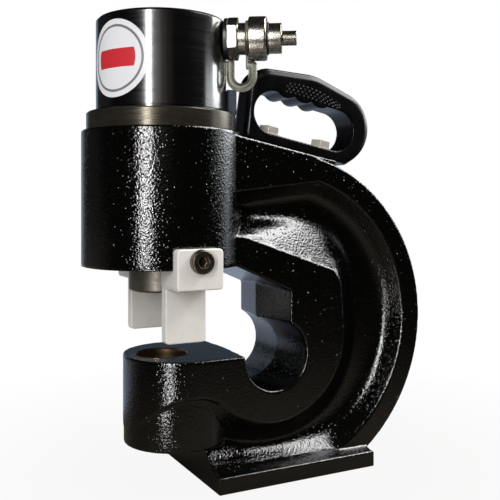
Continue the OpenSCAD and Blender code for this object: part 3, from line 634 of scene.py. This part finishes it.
@dataclass(frozen=True)
class LabelFilm(Finish):
    """Glossy white label film with a thin grey ring and one plain red stripe."""

    stripe: str = "#bb222b"
    ring: str = "#6c6c70"
    stripe_half: float = 0.12
    stripe_reach: float = 0.32
    ring_reach: float = 0.415
    ring_half: float = 0.016
    roughness: float = 0.35

    def build(self) -> bpy.types.Material:
        """Make the material; the UV map runs from 0 to 1 across the label.

        Returns:
            The finished material.
        """
        material, tree, shader, _ = self.start()
        middle = (0.5, 0.5, 0.0)
        uv = add_node(tree, "ShaderNodeUVMap", uv_map="UVMap")
        flat = add_node(tree, "ShaderNodeVectorMath", {0: uv.outputs["UV"], 1: middle},
                        operation="SUBTRACT")
        reach = add_node(tree, "ShaderNodeVectorMath", {0: flat.outputs["Vector"]}, operation="LENGTH")
        split = add_node(tree, "ShaderNodeSeparateXYZ", {"Vector": flat.outputs["Vector"]})
        off = add_node(tree, "ShaderNodeMath", {0: split.outputs["Y"]}, operation="ABSOLUTE")
        band = add_node(tree, "ShaderNodeMath", {0: off.outputs["Value"], 1: self.stripe_half},
                        operation="LESS_THAN")
        inner = add_node(tree, "ShaderNodeMath", {0: reach.outputs["Value"], 1: self.stripe_reach},
                         operation="LESS_THAN")
        stripe = add_node(tree, "ShaderNodeMath", {0: band.outputs["Value"], 1: inner.outputs["Value"]},
                          operation="MULTIPLY")
        ring = add_node(tree, "ShaderNodeMath",
                        {0: reach.outputs["Value"], 1: self.ring_reach, 2: self.ring_half},
                        operation="COMPARE")
        ringed = add_node(tree, "ShaderNodeMix",
                          {FACTOR: ring.outputs["Value"], COLOUR_A: linear(self.colour),
                           COLOUR_B: linear(self.ring)}, data_type="RGBA")
        striped = add_node(tree, "ShaderNodeMix",
                           {FACTOR: stripe.outputs["Value"], COLOUR_A: ringed.outputs[MIXED_COLOUR],
                            COLOUR_B: linear(self.stripe)}, data_type="RGBA")
        tree.links.new(striped.outputs[MIXED_COLOUR], shader.inputs["Base Color"])
        shader.inputs["Roughness"].default_value = self.roughness
        return material


class Finishes:
    """All materials of the part, made once."""

    def __init__(self) -> None:
        """Build every finish."""
        # Gloss black enamel over cast iron: deep black, specks along every highlight
        self.enamel = CastEnamel("gloss_enamel_on_cast_iron", "#030303").build()
        # Steel turned and blackened: its oxide skin is no metal, so it mirrors more towards the edges
        self.black_steel = Metal("blackened_turned_steel", "#060505", roughness=0.17, metallic=0.0, ior=2.1,
                                 pattern=Pattern.TURNED, line_mm=0.8, relief_mm=0.003, stain="#0b0a08",
                                 stain_share=0.5).build()
        # Lock ring: the same steel with the black rubbed thin, browner and duller
        self.ring_steel = Metal("rubbed_turned_steel", "#4b463d", roughness=0.24, metallic=0.8,
                                pattern=Pattern.TURNED, line_mm=0.8, relief_mm=0.004, stain="#262420",
                                stain_share=0.6).build()
        # Ground steel keeper: cool grey
        self.keeper = Metal("ground_keeper_steel", "#7d8796", roughness=0.32, line_mm=0.6).build()
        # Screws: black oxide worn to brown-grey
        self.screw = Metal("worn_black_oxide_steel", "#6b6257", roughness=0.36, stain="#2c2820",
                           stain_share=0.6, line_mm=0.7).build()
        # Ground tool steel: dull grey-brown
        self.ram = Metal("ground_tool_steel", "#7b756b", roughness=0.42, metallic=0.85, line_mm=0.8,
                         stain="#4a443b", stain_share=0.5).build()
        # Bead-blasted nickel plate: pale, warm and matt
        self.nickel_blast = Metal("bead_blasted_nickel", "#dad6d0", roughness=0.5, metallic=0.2,
                                  pattern=Pattern.BLASTED, line_mm=0.9, relief_mm=0.06, stain="#cbc6bf",
                                  stain_share=0.5).build()
        # Bright zinc on the handle's bolts and washers
        self.zinc = Metal("zinc_plated_steel", "#cbc6b8", roughness=0.42, metallic=0.6, line_mm=0.7,
                          stain="#8f8467").build()
        # Bonded washer: dull zinc
        self.washer = Metal("dull_zinc_washer", "#4a4c4d", roughness=0.4, line_mm=0.7).build()
        # Nickel-plated coupler: bright, a little smeared by oil
        self.nickel = Metal("nickel_plated_steel", "#c9c3b8", roughness=0.24, line_mm=0.9,
                            pattern=Pattern.BLASTED, relief_mm=0.05, stain="#857f74",
                            stain_share=0.55).build()
        # Bearing bronze and oil-tempered spring wire, both hidden
        self.bronze = Metal("bearing_bronze", "#a87b45", roughness=0.35, pattern=Pattern.TURNED).build()
        self.spring = Metal("oil_tempered_spring_wire", "#55565a", roughness=0.35, line_mm=0.8).build()
        # Bare machined wall of the die seat: bright brown-grey under a film of oil
        self.bare = Metal("bare_machined_iron", "#8a7358", roughness=0.34, pattern=Pattern.TURNED,
                          line_mm=0.9, stain="#4f3d26", stain_share=0.6).build()
        # Moulded polymer handle: black with a fine grain
        self.plastic = Moulded("moulded_black_polymer", "#030304", roughness=0.24, gloss_share=0.26).build()
        # Nubs of the grip: the same polymer, painted lighter as a sheen that stands in for their glint
        self.nub_sheen = Moulded("scuffed_black_polymer", "#29292b", roughness=0.34, cloud="#1a1a1c").build()
        # Polyurethane seals
        self.seal = Moulded("moulded_polyurethane", "#15191a", roughness=0.4).build()
        # Smoky clear strap of the dust cap
        self.strap = Moulded("smoky_clear_strap", "#8b8a7b", roughness=0.3, grain_mm=1.1, cloud="#77766a",
                             clear_share=0.85).build()
        # Label film, bare but for a ring and a stripe
        self.label = LabelFilm("white_label_film", "#d2d2d5").build()


@dataclass(frozen=True)
class Softened:
    """A CAD node whose copy needs softer edges and a finish, and no more."""

    node: str
    name: str
    slot: str
    finish: bpy.types.Material
    bevel_mm: float
    body: Body = Body.FRAME
    segments: int = 2

    def build(self) -> None:
        """Copy the node, soften its edges and put it in its place."""
        piece = Bench.copy_node(self.node, self.name)
        Bench.soften(piece, self.bevel_mm, self.segments)
        place(piece, self.body, self.finish, [self.node])


@dataclass(frozen=True)
class Melted:
    """A CAD node of the frame's body whose copy is rounded all over."""

    node: str
    name: str
    slot: str
    finish: bpy.types.Material
    voxel_mm: float
    passes: int
    triangles: int
    puff_mm: float = 0.0

    def build(self) -> None:
        """Copy the node, melt it, puff it up where asked, thin it and put it in its place."""
        piece = Bench.copy_node(self.node, self.name)
        Bench.melt(piece, self.voxel_mm, self.passes)
        if self.puff_mm:
            Bench.modify(piece, "DISPLACE", strength=self.puff_mm * MM, mid_level=0.0)
        Bench.thin(piece, self.triangles)
        place(piece, Body.FRAME, self.finish, [self.node])


@dataclass
class CastFrame:
    """The casting and the bare machined wall of its die seat."""

    finishes: Finishes
    voxel_mm: float = 1.1
    melt_passes: int = 4
    triangles: int = 185000
    fillet_passes: int = 300
    face_mm: float = 46.0
    barrel_mm: tuple[float, float] = (171.5, 278.2)
    barrel_gap_mm: float = 2.0
    nose_back_mm: float = -44.0
    snap_mm: float = 0.9
    rim_mm: float = 3.0
    slope_share: float = 0.3
    flat_share: float = 0.92
    seat_skin_mm: float = 0.12
    seat_chamfer_mm: float = 0.9

    def build(self) -> None:
        """Round the casting all over, blend its slopes and line the die seat."""
        casting = Bench.copy_node("c_frame", "frame_casting")
        Bench.melt(casting, self.voxel_mm, self.melt_passes)
        self.blend_slopes(casting)
        Bench.thin(casting, self.triangles)
        self.flatten_faces(casting)
        self.round_barrel(casting)
        place(casting, Body.FRAME, self.finishes.enamel, ["c_frame"])
        self.line_seat()

    def flatten_faces(self, casting: bpy.types.Object) -> None:
        """Set the flat side faces behind the nose straight again after the melting.

        Args:
            casting: Thinned casting.
        """
        face = self.face_mm * MM
        upright = [abs(vertex.normal.y) > self.flat_share for vertex in casting.data.vertices]
        for vertex, flat in zip(casting.data.vertices, upright):
            near = abs(abs(vertex.co.y) - face) < self.snap_mm * MM
            if flat and near and vertex.co.x > self.nose_back_mm * MM:
                vertex.co.y = math.copysign(face, vertex.co.y)

    @staticmethod
    def barrel_radius() -> float:
        """Radius of the barrel, from the head's axis to the casting's front."""
        return head_axis().point.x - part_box("c_frame")[0][0]

    def round_barrel(self, casting: bpy.types.Object) -> None:
        """Set the barrel's wall to its true radius.

        Args:
            casting: Thinned casting.
        """
        axis = head_axis()
        radius = self.barrel_radius()
        snap = self.snap_mm * MM
        low, high = (height * MM for height in self.barrel_mm)
        for vertex in casting.data.vertices:
            arm = vertex.co.xy - axis.point.xy
            if low + snap < vertex.co.z < high - snap and abs(arm.length - radius) < snap:
                vertex.co.xy = axis.point.xy + arm * (radius / arm.length)

    def blend_slopes(self, casting: bpy.types.Object) -> None:
        """Give the channel's slopes broad fillets; outer faces, throat, nose and barrel stay.

        Args:
            casting: Melted casting.
        """
        axis = head_axis()
        reach = self.barrel_radius() + self.barrel_gap_mm * MM
        group = casting.vertex_groups.new(name="slopes")
        inside = []
        for vertex in casting.data.vertices:
            off = (vertex.co.xy - axis.point.xy).length
            clear = off > reach or vertex.co.z < self.barrel_mm[0] * MM
            behind = vertex.co.x > self.nose_back_mm * MM
            low_face = abs(vertex.co.y) < (self.face_mm - self.rim_mm) * MM
            if clear and behind and low_face and abs(vertex.normal.y) > self.slope_share:
                inside.append(vertex.index)
        group.add(inside, 1.0, "REPLACE")
        Bench.modify(casting, "SMOOTH", factor=SMOOTH_FACTOR, iterations=self.fillet_passes,
                     vertex_group=group.name)

    def line_seat(self) -> None:
        """Turn the thin bright wall of the die seat, with its chamfered rim."""
        mount = next(row for row in frame["record"]["mounts"] if row["name"] == "die_seat")
        top = mount["pos_m"][2]
        radius = mount["dims"]["r_mm"] * MM
        depth = mount["dims"]["length_mm"] * MM
        skin = self.seat_skin_mm * MM
        chamfer = self.seat_chamfer_mm * MM
        wall = [
            (radius - skin, top - depth),
            (radius - skin, top - chamfer),
            (radius - skin + chamfer, top + skin),
            (radius + 2 * chamfer, top + skin),
            (radius + 2 * chamfer, top - skin),
            (radius + skin, top - chamfer),
            (radius + skin, top - depth),
            (radius - skin, top - depth),
        ]
        piece = Bench.lathe("die_seat_wall", wall, head_axis())
        place(piece, Body.FRAME, self.finishes.bare)


@dataclass
class Head:
    """Cylinder, lock ring, keeper and the label on the cylinder."""

    finishes: Finishes
    label_radius_mm: float = 29.4
    label_angle: float = -153.0
    label_height_mm: float = 330.0
    label_lift_mm: float = 0.15
    film_share: float = 0.8
    label_rings: int = 14

    def build(self) -> None:
        """Soften the turned pieces and stick the label on."""
        looks = self.finishes
        rows = [
            Softened("cylinder_body", "cylinder", "black_steel", looks.black_steel, 0.5),
            Softened("lock_ring", "cylinder_lock_ring", "black_steel", looks.ring_steel, 0.5),
            Softened("ring_key", "ring_keeper", "keeper_steel", looks.keeper, 0.6),
            Softened("key_screw", "keeper_screw", "screw_steel", looks.screw, 0.25),
        ]
        for row in rows:
            row.build()
        self.stick_label()

    def stick_label(self) -> None:
        """Cut a round label, inset it into rings and wrap it on the cylinder."""
        axis = head_axis()
        low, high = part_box("cylinder_body")
        lift = self.label_lift_mm * MM
        wall = (high[0] - low[0]) / 2 + lift
        radius = self.label_radius_mm * MM
        Bench.clear()
        bpy.ops.mesh.primitive_circle_add(vertices=ROUND_SIDES, radius=radius, fill_type="NGON")
        piece = bpy.context.object
        piece.name = "round_label"
        bpy.ops.object.mode_set(mode="EDIT")
        bpy.ops.mesh.select_all(action="SELECT")
        for _ in range(self.label_rings):
            bpy.ops.mesh.inset(thickness=radius / (self.label_rings + 1), depth=0)
        bpy.ops.mesh.poke()
        bpy.ops.object.mode_set(mode="OBJECT")
        mesh = piece.data
        layer = mesh.uv_layers.get("UVMap") or mesh.uv_layers.new(name="UVMap")
        for loop in mesh.loops:
            across = mesh.vertices[loop.vertex_index].co
            layer.data[loop.index].uv = (0.5 + across.x / (2 * radius), 0.5 + across.y / (2 * radius))
        for vertex in mesh.vertices:
            angle = math.radians(self.label_angle) + vertex.co.x / wall
            arm = Vector((math.cos(angle), math.sin(angle), 0)) * wall
            height = Vector((0, 0, self.label_height_mm * MM + vertex.co.y))
            vertex.co = axis.point + arm + height
        Bench.modify(piece, "SOLIDIFY", thickness=lift * self.film_share, offset=-1.0)
        Bench.smooth(piece)
        place(piece, Body.FRAME, self.finishes.label)


@dataclass
class RamUnit:
    """Ram, piston and the hidden pieces round them."""

    finishes: Finishes
    spring_turns: float = 7.0
    wire_mm: float = 6.0
    keep: float = 0.777

    def build(self) -> None:
        """Soften the ram and its neighbours and wind the return spring."""
        looks = self.finishes
        rows = [
            Softened("ram", "punch_ram", "ram_steel", looks.ram, 0.8, Body.RAM),
            Softened("piston", "ram_piston", "ram_steel", looks.ram, 0.5, Body.RAM),
            Softened("punch_set_screw", "punch_screw", "screw_steel", looks.screw, 0.3, Body.RAM),
            Softened("gland_bush", "guide_bush", "bearing_bronze", looks.bronze, 0.4),
            Softened("stop_tube", "stroke_stop_tube", "ram_steel", looks.ram, 0.4),
            Softened("die_set_screw", "die_screw", "screw_steel", looks.screw, 0.3),
        ]
        for row in rows:
            row.build()
        self.wind_spring()

    def wind_spring(self) -> None:
        """Wind the return spring between bush and piston."""
        low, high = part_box("return_spring")
        wire = self.wire_mm * MM
        axis = head_axis()
        radius = (high[0] - low[0]) / 2 - wire / 2
        piece = Bench.coil("ram_return_spring", radius, wire, low[2], high[2], self.spring_turns, axis)
        place(piece, Body.FRAME, self.finishes.spring, ["return_spring"])
        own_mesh(piece)


@dataclass
class Strippers:
    """Both stripper brackets and their screws."""

    finishes: Finishes
    voxel_mm: float = 0.55
    passes: int = 6
    triangles: int = 60000
    screw_bevel_mm: float = 0.7
    screw_segments: int = 3

    def build(self) -> None:
        """Give the brackets blasted, rounded corners and soften the screws."""
        looks = self.finishes
        for side in ("near", "far"):
            Melted(f"stripper_{side}", f"{side}_stripper", "stripper_nickel", looks.nickel_blast,
                   self.voxel_mm, self.passes, self.triangles).build()
        Softened("stripper_screws", "stripper_cap_screws", "screw_steel", looks.screw,
                 self.screw_bevel_mm, segments=self.screw_segments).build()


@dataclass
class Handle:
    """Carrying handle with its nubbed grip, bolts and washers."""

    finishes: Finishes
    voxel_mm: float = 0.8
    passes: int = 5
    triangles: int = 120000
    slope: float = 11.2
    seat_mm: tuple[float, float] = (-33.0, 276.6)
    hole_start_mm: float = 9.1
    floor_mm: float = 9.0
    pitch_mm: float = 4.4
    row_share: float = 0.62
    nub_mm: float = 2.9
    nub_taper: float = 7.0
    nub_bevel_mm: float = 0.15
    nub_height_mm: float = 1.1
    nub_lift_share: float = 0.3
    rows: int = 4
    columns: int = 13
    first_mm: float = 27.0
    row_start_mm: float = 39.4
    crown_mm: float = 46.0
    crown_radius_mm: float = 95.0

    def build(self) -> None:
        """Round the moulding, press the nubs on and dress bolts and washers."""
        looks = self.finishes
        Melted("handle_grip", "carrying_handle", "handle_plastic", looks.plastic, self.voxel_mm,
               self.passes, self.triangles).build()
        self.press_nubs()
        Softened("handle_bolts", "handle_hex_bolts", "bolt_zinc", looks.zinc, 0.5).build()
        Softened("handle_washers", "handle_flat_washers", "bolt_zinc", looks.zinc, 0.3).build()

    def spot(self, along: float, up: float, side: float) -> Vector:
        """Place of a point of the handle's side face.

        Args:
            along: Millimetres behind the hand hole's front.
            up: Millimetres over the hand hole's floor.
            side: Place across the frame, in metres.

        Returns:
            The point in the part's frame.
        """
        turn = math.radians(self.slope)
        reach = self.hole_start_mm + along
        lift = self.floor_mm + up
        x = self.seat_mm[0] + reach * math.cos(turn) + lift * math.sin(turn)
        z = self.seat_mm[1] - reach * math.sin(turn) + lift * math.cos(turn)
        return Vector((x * MM, side, z * MM))

    def model_nub(self) -> bpy.types.Object:
        """Model one nub as a blunt, bevelled diamond.

        Returns:
            The nub, at the origin.
        """
        size = self.nub_mm * MM
        Bench.clear()
        bpy.ops.mesh.primitive_cone_add(vertices=4, radius1=size / 2, radius2=size / self.nub_taper,
                                        depth=self.nub_height_mm * MM)
        bpy.ops.object.mode_set(mode="EDIT")
        bpy.ops.mesh.select_all(action="SELECT")
        bpy.ops.mesh.bevel(offset=self.nub_bevel_mm * MM, segments=1)
        bpy.ops.object.mode_set(mode="OBJECT")
        return bpy.context.object

    def press_nubs(self) -> None:
        """Copy the nub in staggered rows on both sides of the grip."""
        low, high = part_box("handle_grip")
        model = self.model_nub()
        lift = self.nub_height_mm * MM * self.nub_lift_share
        copies = []
        for side, face in ((-1, low[1]), (1, high[1])):
            turn = Matrix.Rotation(-side * math.pi / 2, 4, "X")
            for row in range(self.rows):
                for column in range(self.columns):
                    along = self.first_mm + (column + (row % 2) / 2) * self.pitch_mm
                    fall = (along - self.crown_mm) ** 2 / (2 * self.crown_radius_mm)
                    rise = row * self.pitch_mm * self.row_share - fall * (row + 1) / self.rows
                    spot = self.spot(along, self.row_start_mm + rise, face + side * lift)
                    copy = bpy.data.objects.new("nub", model.data.copy())
                    copy.data.transform(Matrix.Translation(spot) @ turn)
                    bpy.context.scene.collection.objects.link(copy)
                    copies.append(copy)
        bpy.data.objects.remove(model)
        Bench.clear()
        for copy in copies:
            copy.select_set(True)
        bpy.context.view_layer.objects.active = copies[0]
        bpy.ops.object.join()
        piece = bpy.context.object
        piece.name = "grip_nubs"
        # The nubs' lighter colour is a painted sheen for their glint
        place(piece, Body.FRAME, self.finishes.nub_sheen)


@dataclass
class Coupler:
    """Oil coupler: adapter, body, sleeve, valve and dust-cap strap."""

    finishes: Finishes
    spring_turns: float = 6.0
    wire_mm: float = 0.8
    keep: float = 0.884
    strap_voxel_mm: float = 0.4
    strap_passes: int = 2
    strap_triangles: int = 30000
    strap_puff_mm: float = 0.5

    def build(self) -> None:
        """Soften the coupler's pieces, melt the strap and wind the small spring."""
        looks = self.finishes
        rows = [
            Softened("coupler_seal", "bonded_washer", "seal_washer", looks.washer, 0.3),
            Softened("coupler_adapter", "hex_adapter", "coupler_nickel", looks.nickel, 0.7),
            Softened("coupler_body", "coupler_tail", "coupler_nickel", looks.nickel, 0.5),
            Softened("coupler_sleeve", "coupler_collar", "coupler_nickel", looks.nickel, 0.5, Body.SLEEVE),
            Softened("sleeve_clip", "collar_clip", "spring_steel", looks.spring, 0.15),
            Softened("coupler_poppet", "valve_poppet", "coupler_nickel", looks.nickel, 0.2, Body.POPPET),
        ]
        for row in rows:
            row.build()
        Melted("cap_strap", "dust_cap_strap", "strap_rubber", looks.strap, self.strap_voxel_mm,
               self.strap_passes, self.strap_triangles, self.strap_puff_mm).build()
        self.wind_spring()

    def wind_spring(self) -> None:
        """Wind the poppet's spring along the coupler's axis."""
        axis = coupler_axis()
        low, high = axis.span("poppet_spring")
        wire = self.wire_mm * MM
        box_low, box_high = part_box("poppet_spring")
        radius = (box_high[2] - box_low[2]) / 2 - wire / 2
        piece = Bench.coil("valve_spring", radius, wire, low, high, self.spring_turns, axis)
        place(piece, Body.FRAME, self.finishes.spring, ["poppet_spring"])
        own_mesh(piece)


@dataclass
class HiddenSeals:
    """Seals inside the barrel, which keep their CAD shape."""

    finishes: Finishes

    def dress(self) -> None:
        """Give the seals their finish."""
        rows = {"piston_seal": self.finishes.seal, "rod_wiper": self.finishes.seal,
                "piston_guide": self.finishes.bronze}
        for node, finish in rows.items():
            frame["nodes"][node].material_slots[0].material = finish
            LOG.info("%s dressed", node)


@dataclass(frozen=True)
class SoftBox:
    """One soft box of the studio: its place, its aim, its size in metres and its power."""

    name: str
    spot: tuple[float, float, float]
    target: tuple[float, float, float]
    size: tuple[float, float]
    watts: float

    def hang(self) -> None:
        """Hang the box out of the camera's sight."""
        data = bpy.data.lights.new(self.name, "AREA")
        data.shape = "RECTANGLE"
        data.size, data.size_y = self.size
        data.energy = self.watts
        lamp = bpy.data.objects.new(self.name, data)
        lamp.location = self.spot
        aim = Vector(self.target) - Vector(self.spot)
        lamp.rotation_euler = aim.to_track_quat("-Z", "Y").to_euler()
        lamp.visible_camera = False
        bpy.context.scene.collection.objects.link(lamp)


@dataclass(frozen=True)
class FloorCard:
    """A bright card that lies on the floor and shows in reflections only."""

    name: str
    finish: str
    colour: str
    spot: tuple[float, float, float]
    size: tuple[float, float]
    turn: float = 0.0
    strength: float = 1.0


@dataclass(frozen=True)
class Card:
    """A stretch of the curtain, between two bearings in degrees; strength 1 is white."""

    name: str
    colour: str
    start: float = 0.0
    end: float = 0.0
    strength: float = 1.0


@dataclass(frozen=True)
class Tier:
    """One ring of the curtain, between two heights in metres, with the cards hung on it."""

    name: str
    low: float
    high: float
    cards: tuple[Card, ...]


DARK_CARD = Card("dark_curtain", "#090806")
SIDE_CARDS = (
    DARK_CARD,
    Card("pale_right_card", "#dfe7f0", -12.0, 14.0, 2.4),
    Card("blue_grey_card", "#8c959f", 24.0, 40.0),
    Card("dim_blue_card", "#4f5b67", 40.0, 82.0),
    Card("pale_blue_card", "#a8b4c6", 82.0, 106.0),
    Card("grey_card", "#38383b", 106.0, 155.0),
)
# Only the cylinder mirrors these: they fade out beside its highlight
EDGE_CARDS = (
    Card("bright_edge_card", "#c9c5bf", -125.0, -115.0),
    Card("soft_edge_card", "#76736f", -115.0, -105.0),
    Card("dim_edge_card", "#4a4845", -105.0, -95.0),
)
# The bright band low on the cylinder's right side
BAND_CARD = Card("white_right_card", "#f2f5f8", -30.0, 5.0, 3.4)


@dataclass
class Studio:
    """Pale floor, soft boxes, a dark curtain with cards, and the camera."""

    camera_place: tuple[float, float, float] = (-0.3139, -0.5753, 0.2220)
    camera_yaw: float = 27.356
    near_clip: float = 0.01
    focal_px: float = 757.65
    image_px: float = 500.0
    horizon_px: float = 201.93
    sensor_mm: float = 36.0
    ambient: float = 0.85
    floor_size: float = 12.0
    shadow_reach: tuple[float, float] = (0.12, 0.42)
    shadow_share: float = 0.92
    mirror_reach: tuple[float, float] = (0.2, 0.55)
    curtain_radius: float = 2.4
    boxes: tuple[SoftBox, ...] = (
        SoftBox("strip_front_left", (-1.177, -1.18, 0.62), (-0.10, 0.0, 0.24), (0.18, 1.3), 21.0),
        SoftBox("broad_right", (1.55, 0.02, 0.98), (0.0, 0.0, 0.98), (0.6, 0.9), 16.0),
        SoftBox("high_right", (0.98, -0.50, 1.17), (0.0, -0.04, 0.19), (0.9, 0.45), 15.0),
        SoftBox("overhead", (0.75, -0.08, 1.42), (-0.03, -0.04, 0.2), (0.6, 0.5), 9.0),
    )
    # The nose mirrors the first card, the throat and the channel mirror the other two
    floor_cards: tuple[FloorCard, ...] = (
        FloorCard("floor_reflector", "white_reflector", "#ffffff", (-0.345, -0.30, 0.002), (0.30, 0.045),
                  turn=-131.0, strength=15.0),
        FloorCard("back_floor_card", "pale_floor_behind", "#a5b2c6", (0.9, 1.25, 0.001), (2.6, 2.1)),
        FloorCard("side_floor_card", "grey_floor_behind", "#6a6661", (-1.3, 1.25, 0.001), (1.8, 2.1)),
    )
    tiers: tuple[Tier, ...] = (
        Tier("lower_curtain", -0.1, 0.5, SIDE_CARDS),
        Tier("ring_curtain", 0.5, 0.75, SIDE_CARDS + EDGE_CARDS + (BAND_CARD,)),
        Tier("head_curtain", 0.75, 0.98, SIDE_CARDS + EDGE_CARDS),
        Tier("upper_curtain", 0.98, 3.1, (DARK_CARD,)),
    )

    def build(self) -> None:
        """Set the camera, the world, the floor, the lights, the curtain and the floor cards."""
        bpy.context.scene.view_settings.view_transform = "Standard"
        self.set_camera()
        self.light_world()
        self.lay_floor()
        for box in self.boxes:
            box.hang()
        self.hang_curtain()
        self.lay_cards()

    def set_camera(self) -> None:
        """Stand the camera where the photograph was taken."""
        data = bpy.data.cameras.new("camera")
        data.sensor_width = self.sensor_mm
        data.lens = self.focal_px * self.sensor_mm / self.image_px
        data.shift_y = (self.horizon_px - self.image_px / 2) / self.image_px
        data.clip_start = self.near_clip
        camera = bpy.data.objects.new("camera", data)
        camera.location = self.camera_place
        camera.rotation_euler = (math.pi / 2, 0, -math.radians(self.camera_yaw))
        bpy.context.scene.collection.objects.link(camera)
        bpy.context.scene.camera = camera

    def light_world(self) -> None:
        """White background for the eye and for reflections, modest light for the rest."""
        world = bpy.data.worlds.new("studio")
        bpy.context.scene.world = world
        world.use_nodes = True
        tree = world.node_tree
        tree.nodes.clear()
        path = add_node(tree, "ShaderNodeLightPath")
        seen = add_node(tree, "ShaderNodeMath",
                        {0: path.outputs["Is Camera Ray"], 1: path.outputs["Is Glossy Ray"]},
                        operation="ADD")
        shown = add_node(tree, "ShaderNodeMath",
                         {0: seen.outputs["Value"], 1: path.outputs["Is Transmission Ray"]},
                         operation="ADD", use_clamp=True)
        strength = add_node(tree, "ShaderNodeMapRange",
                            {"Value": shown.outputs["Value"], "To Min": self.ambient, "To Max": 1.0})
        white = add_node(tree, "ShaderNodeBackground",
                         {"Color": WHITE, "Strength": strength.outputs["Result"]})
        add_node(tree, "ShaderNodeOutputWorld", {"Surface": white.outputs["Background"]})

    def lay_floor(self) -> None:
        """Lay a pale floor that stays near white for the eye and keeps the shadow."""
        Bench.clear()
        bpy.ops.mesh.primitive_plane_add(size=self.floor_size)
        floor = bpy.context.object
        floor.name = "floor"
        material = bpy.data.materials.new("pale_floor")
        material.use_nodes = True
        tree = material.node_tree
        tree.nodes.clear()
        path = add_node(tree, "ShaderNodeLightPath")
        where = add_node(tree, "ShaderNodeTexCoord")
        reach = add_node(tree, "ShaderNodeVectorMath", {0: where.outputs["Object"]}, operation="LENGTH")
        fade = add_node(tree, "ShaderNodeMapRange",
                        {"Value": reach.outputs["Value"], "From Min": self.shadow_reach[0],
                         "From Max": self.shadow_reach[1], "To Min": self.shadow_share, "To Max": 1.0})
        share = add_node(tree, "ShaderNodeMath",
                         {0: path.outputs["Is Camera Ray"], 1: fade.outputs["Result"]},
                         operation="MULTIPLY")
        # In reflections the floor is warm near the object and falls off to dark
        far = add_node(tree, "ShaderNodeMapRange",
                       {"Value": reach.outputs["Value"], "From Min": self.mirror_reach[0],
                        "From Max": self.mirror_reach[1]})
        dim = add_node(tree, "ShaderNodeMath",
                       {0: far.outputs["Result"], 1: path.outputs["Is Glossy Ray"]}, operation="MULTIPLY")
        paint = add_node(tree, "ShaderNodeMix",
                         {FACTOR: dim.outputs["Value"], COLOUR_A: linear("#554f47"),
                          COLOUR_B: linear("#0d0c0a")}, data_type="RGBA")
        matt = add_node(tree, "ShaderNodeBsdfDiffuse", {"Color": paint.outputs[MIXED_COLOUR]})
        glow = add_node(tree, "ShaderNodeEmission", {"Color": WHITE, "Strength": 1.0})
        mix = add_node(tree, "ShaderNodeMixShader",
                       {0: share.outputs["Value"], 1: matt.outputs["BSDF"], 2: glow.outputs["Emission"]})
        add_node(tree, "ShaderNodeOutputMaterial", {"Surface": mix.outputs["Shader"]})
        floor.data.materials.append(material)

    @staticmethod
    def glow(card: bpy.types.Object, name: str, colour: str, strength: float) -> None:
        """Give a card of the studio an even brightness.

        Args:
            card: Object that gets one more material.
            name: Name of the material.
            colour: Colour of the card.
            strength: Brightness, where 1 is white.
        """
        material = bpy.data.materials.new(name)
        material.use_nodes = True
        tree = material.node_tree
        tree.nodes.clear()
        light = add_node(tree, "ShaderNodeEmission", {"Color": linear(colour), "Strength": strength})
        add_node(tree, "ShaderNodeOutputMaterial", {"Surface": light.outputs["Emission"]})
        card.data.materials.append(material)

    @staticmethod
    def hide(card: bpy.types.Object) -> None:
        """Let a card of the studio show in reflections only.

        Args:
            card: Card, curtain or ceiling.
        """
        card.visible_camera = False
        card.visible_diffuse = False
        card.visible_shadow = False
        card.visible_transmission = False

    def lay_cards(self) -> None:
        """Lay the bright cards on the floor."""
        for card in self.floor_cards:
            Bench.clear()
            bpy.ops.mesh.primitive_plane_add(size=1.0)
            plane = bpy.context.object
            plane.name = card.name
            turn = Matrix.Rotation(math.radians(card.turn), 4, "Z")
            size = Matrix.Diagonal((*card.size, 1.0, 1.0))
            plane.data.transform(Matrix.Translation(card.spot) @ turn @ size)
            self.glow(plane, card.finish, card.colour, card.strength)
            self.hide(plane)

    def hang_curtain(self) -> None:
        """Stand a dark curtain with paler cards round the set and close it with a ceiling."""
        for tier in self.tiers:
            Bench.clear()
            bpy.ops.mesh.primitive_cylinder_add(vertices=ROUND_SIDES, radius=self.curtain_radius,
                                                depth=tier.high - tier.low, end_fill_type="NOTHING",
                                                location=(0, 0, (tier.low + tier.high) / 2))
            curtain = bpy.context.object
            curtain.name = tier.name
            bpy.ops.object.transform_apply(location=True, rotation=True, scale=True)
            for face in curtain.data.polygons:
                angle = math.degrees(math.atan2(face.center.y, face.center.x))
                hits = [i for i, card in enumerate(tier.cards) if card.start < angle <= card.end]
                face.material_index = hits[-1] if hits else 0
            for card in tier.cards:
                self.glow(curtain, card.name, card.colour, card.strength)
            self.hide(curtain)
        Bench.clear()
        bpy.ops.mesh.primitive_circle_add(vertices=ROUND_SIDES, radius=self.curtain_radius,
                                          fill_type="TRIFAN", location=(0, 0, self.tiers[-1].high))
        ceiling = bpy.context.object
        ceiling.name = "dark_ceiling"
        bpy.ops.object.transform_apply(location=True, rotation=True, scale=True)
        self.glow(ceiling, "dark_ceiling", DARK_CARD.colour, DARK_CARD.strength)
        self.hide(ceiling)


def main() -> None:
    """Build and dress every sub-assembly, then the studio."""
    logging.basicConfig(level=logging.INFO, format="%(name)s: %(message)s")
    finishes = Finishes()
    CastFrame(finishes).build()
    Head(finishes).build()
    RamUnit(finishes).build()
    Strippers(finishes).build()
    Handle(finishes).build()
    Coupler(finishes).build()
    HiddenSeals(finishes).dress()
    Studio().build()


if __name__ == "__main__":
    main()
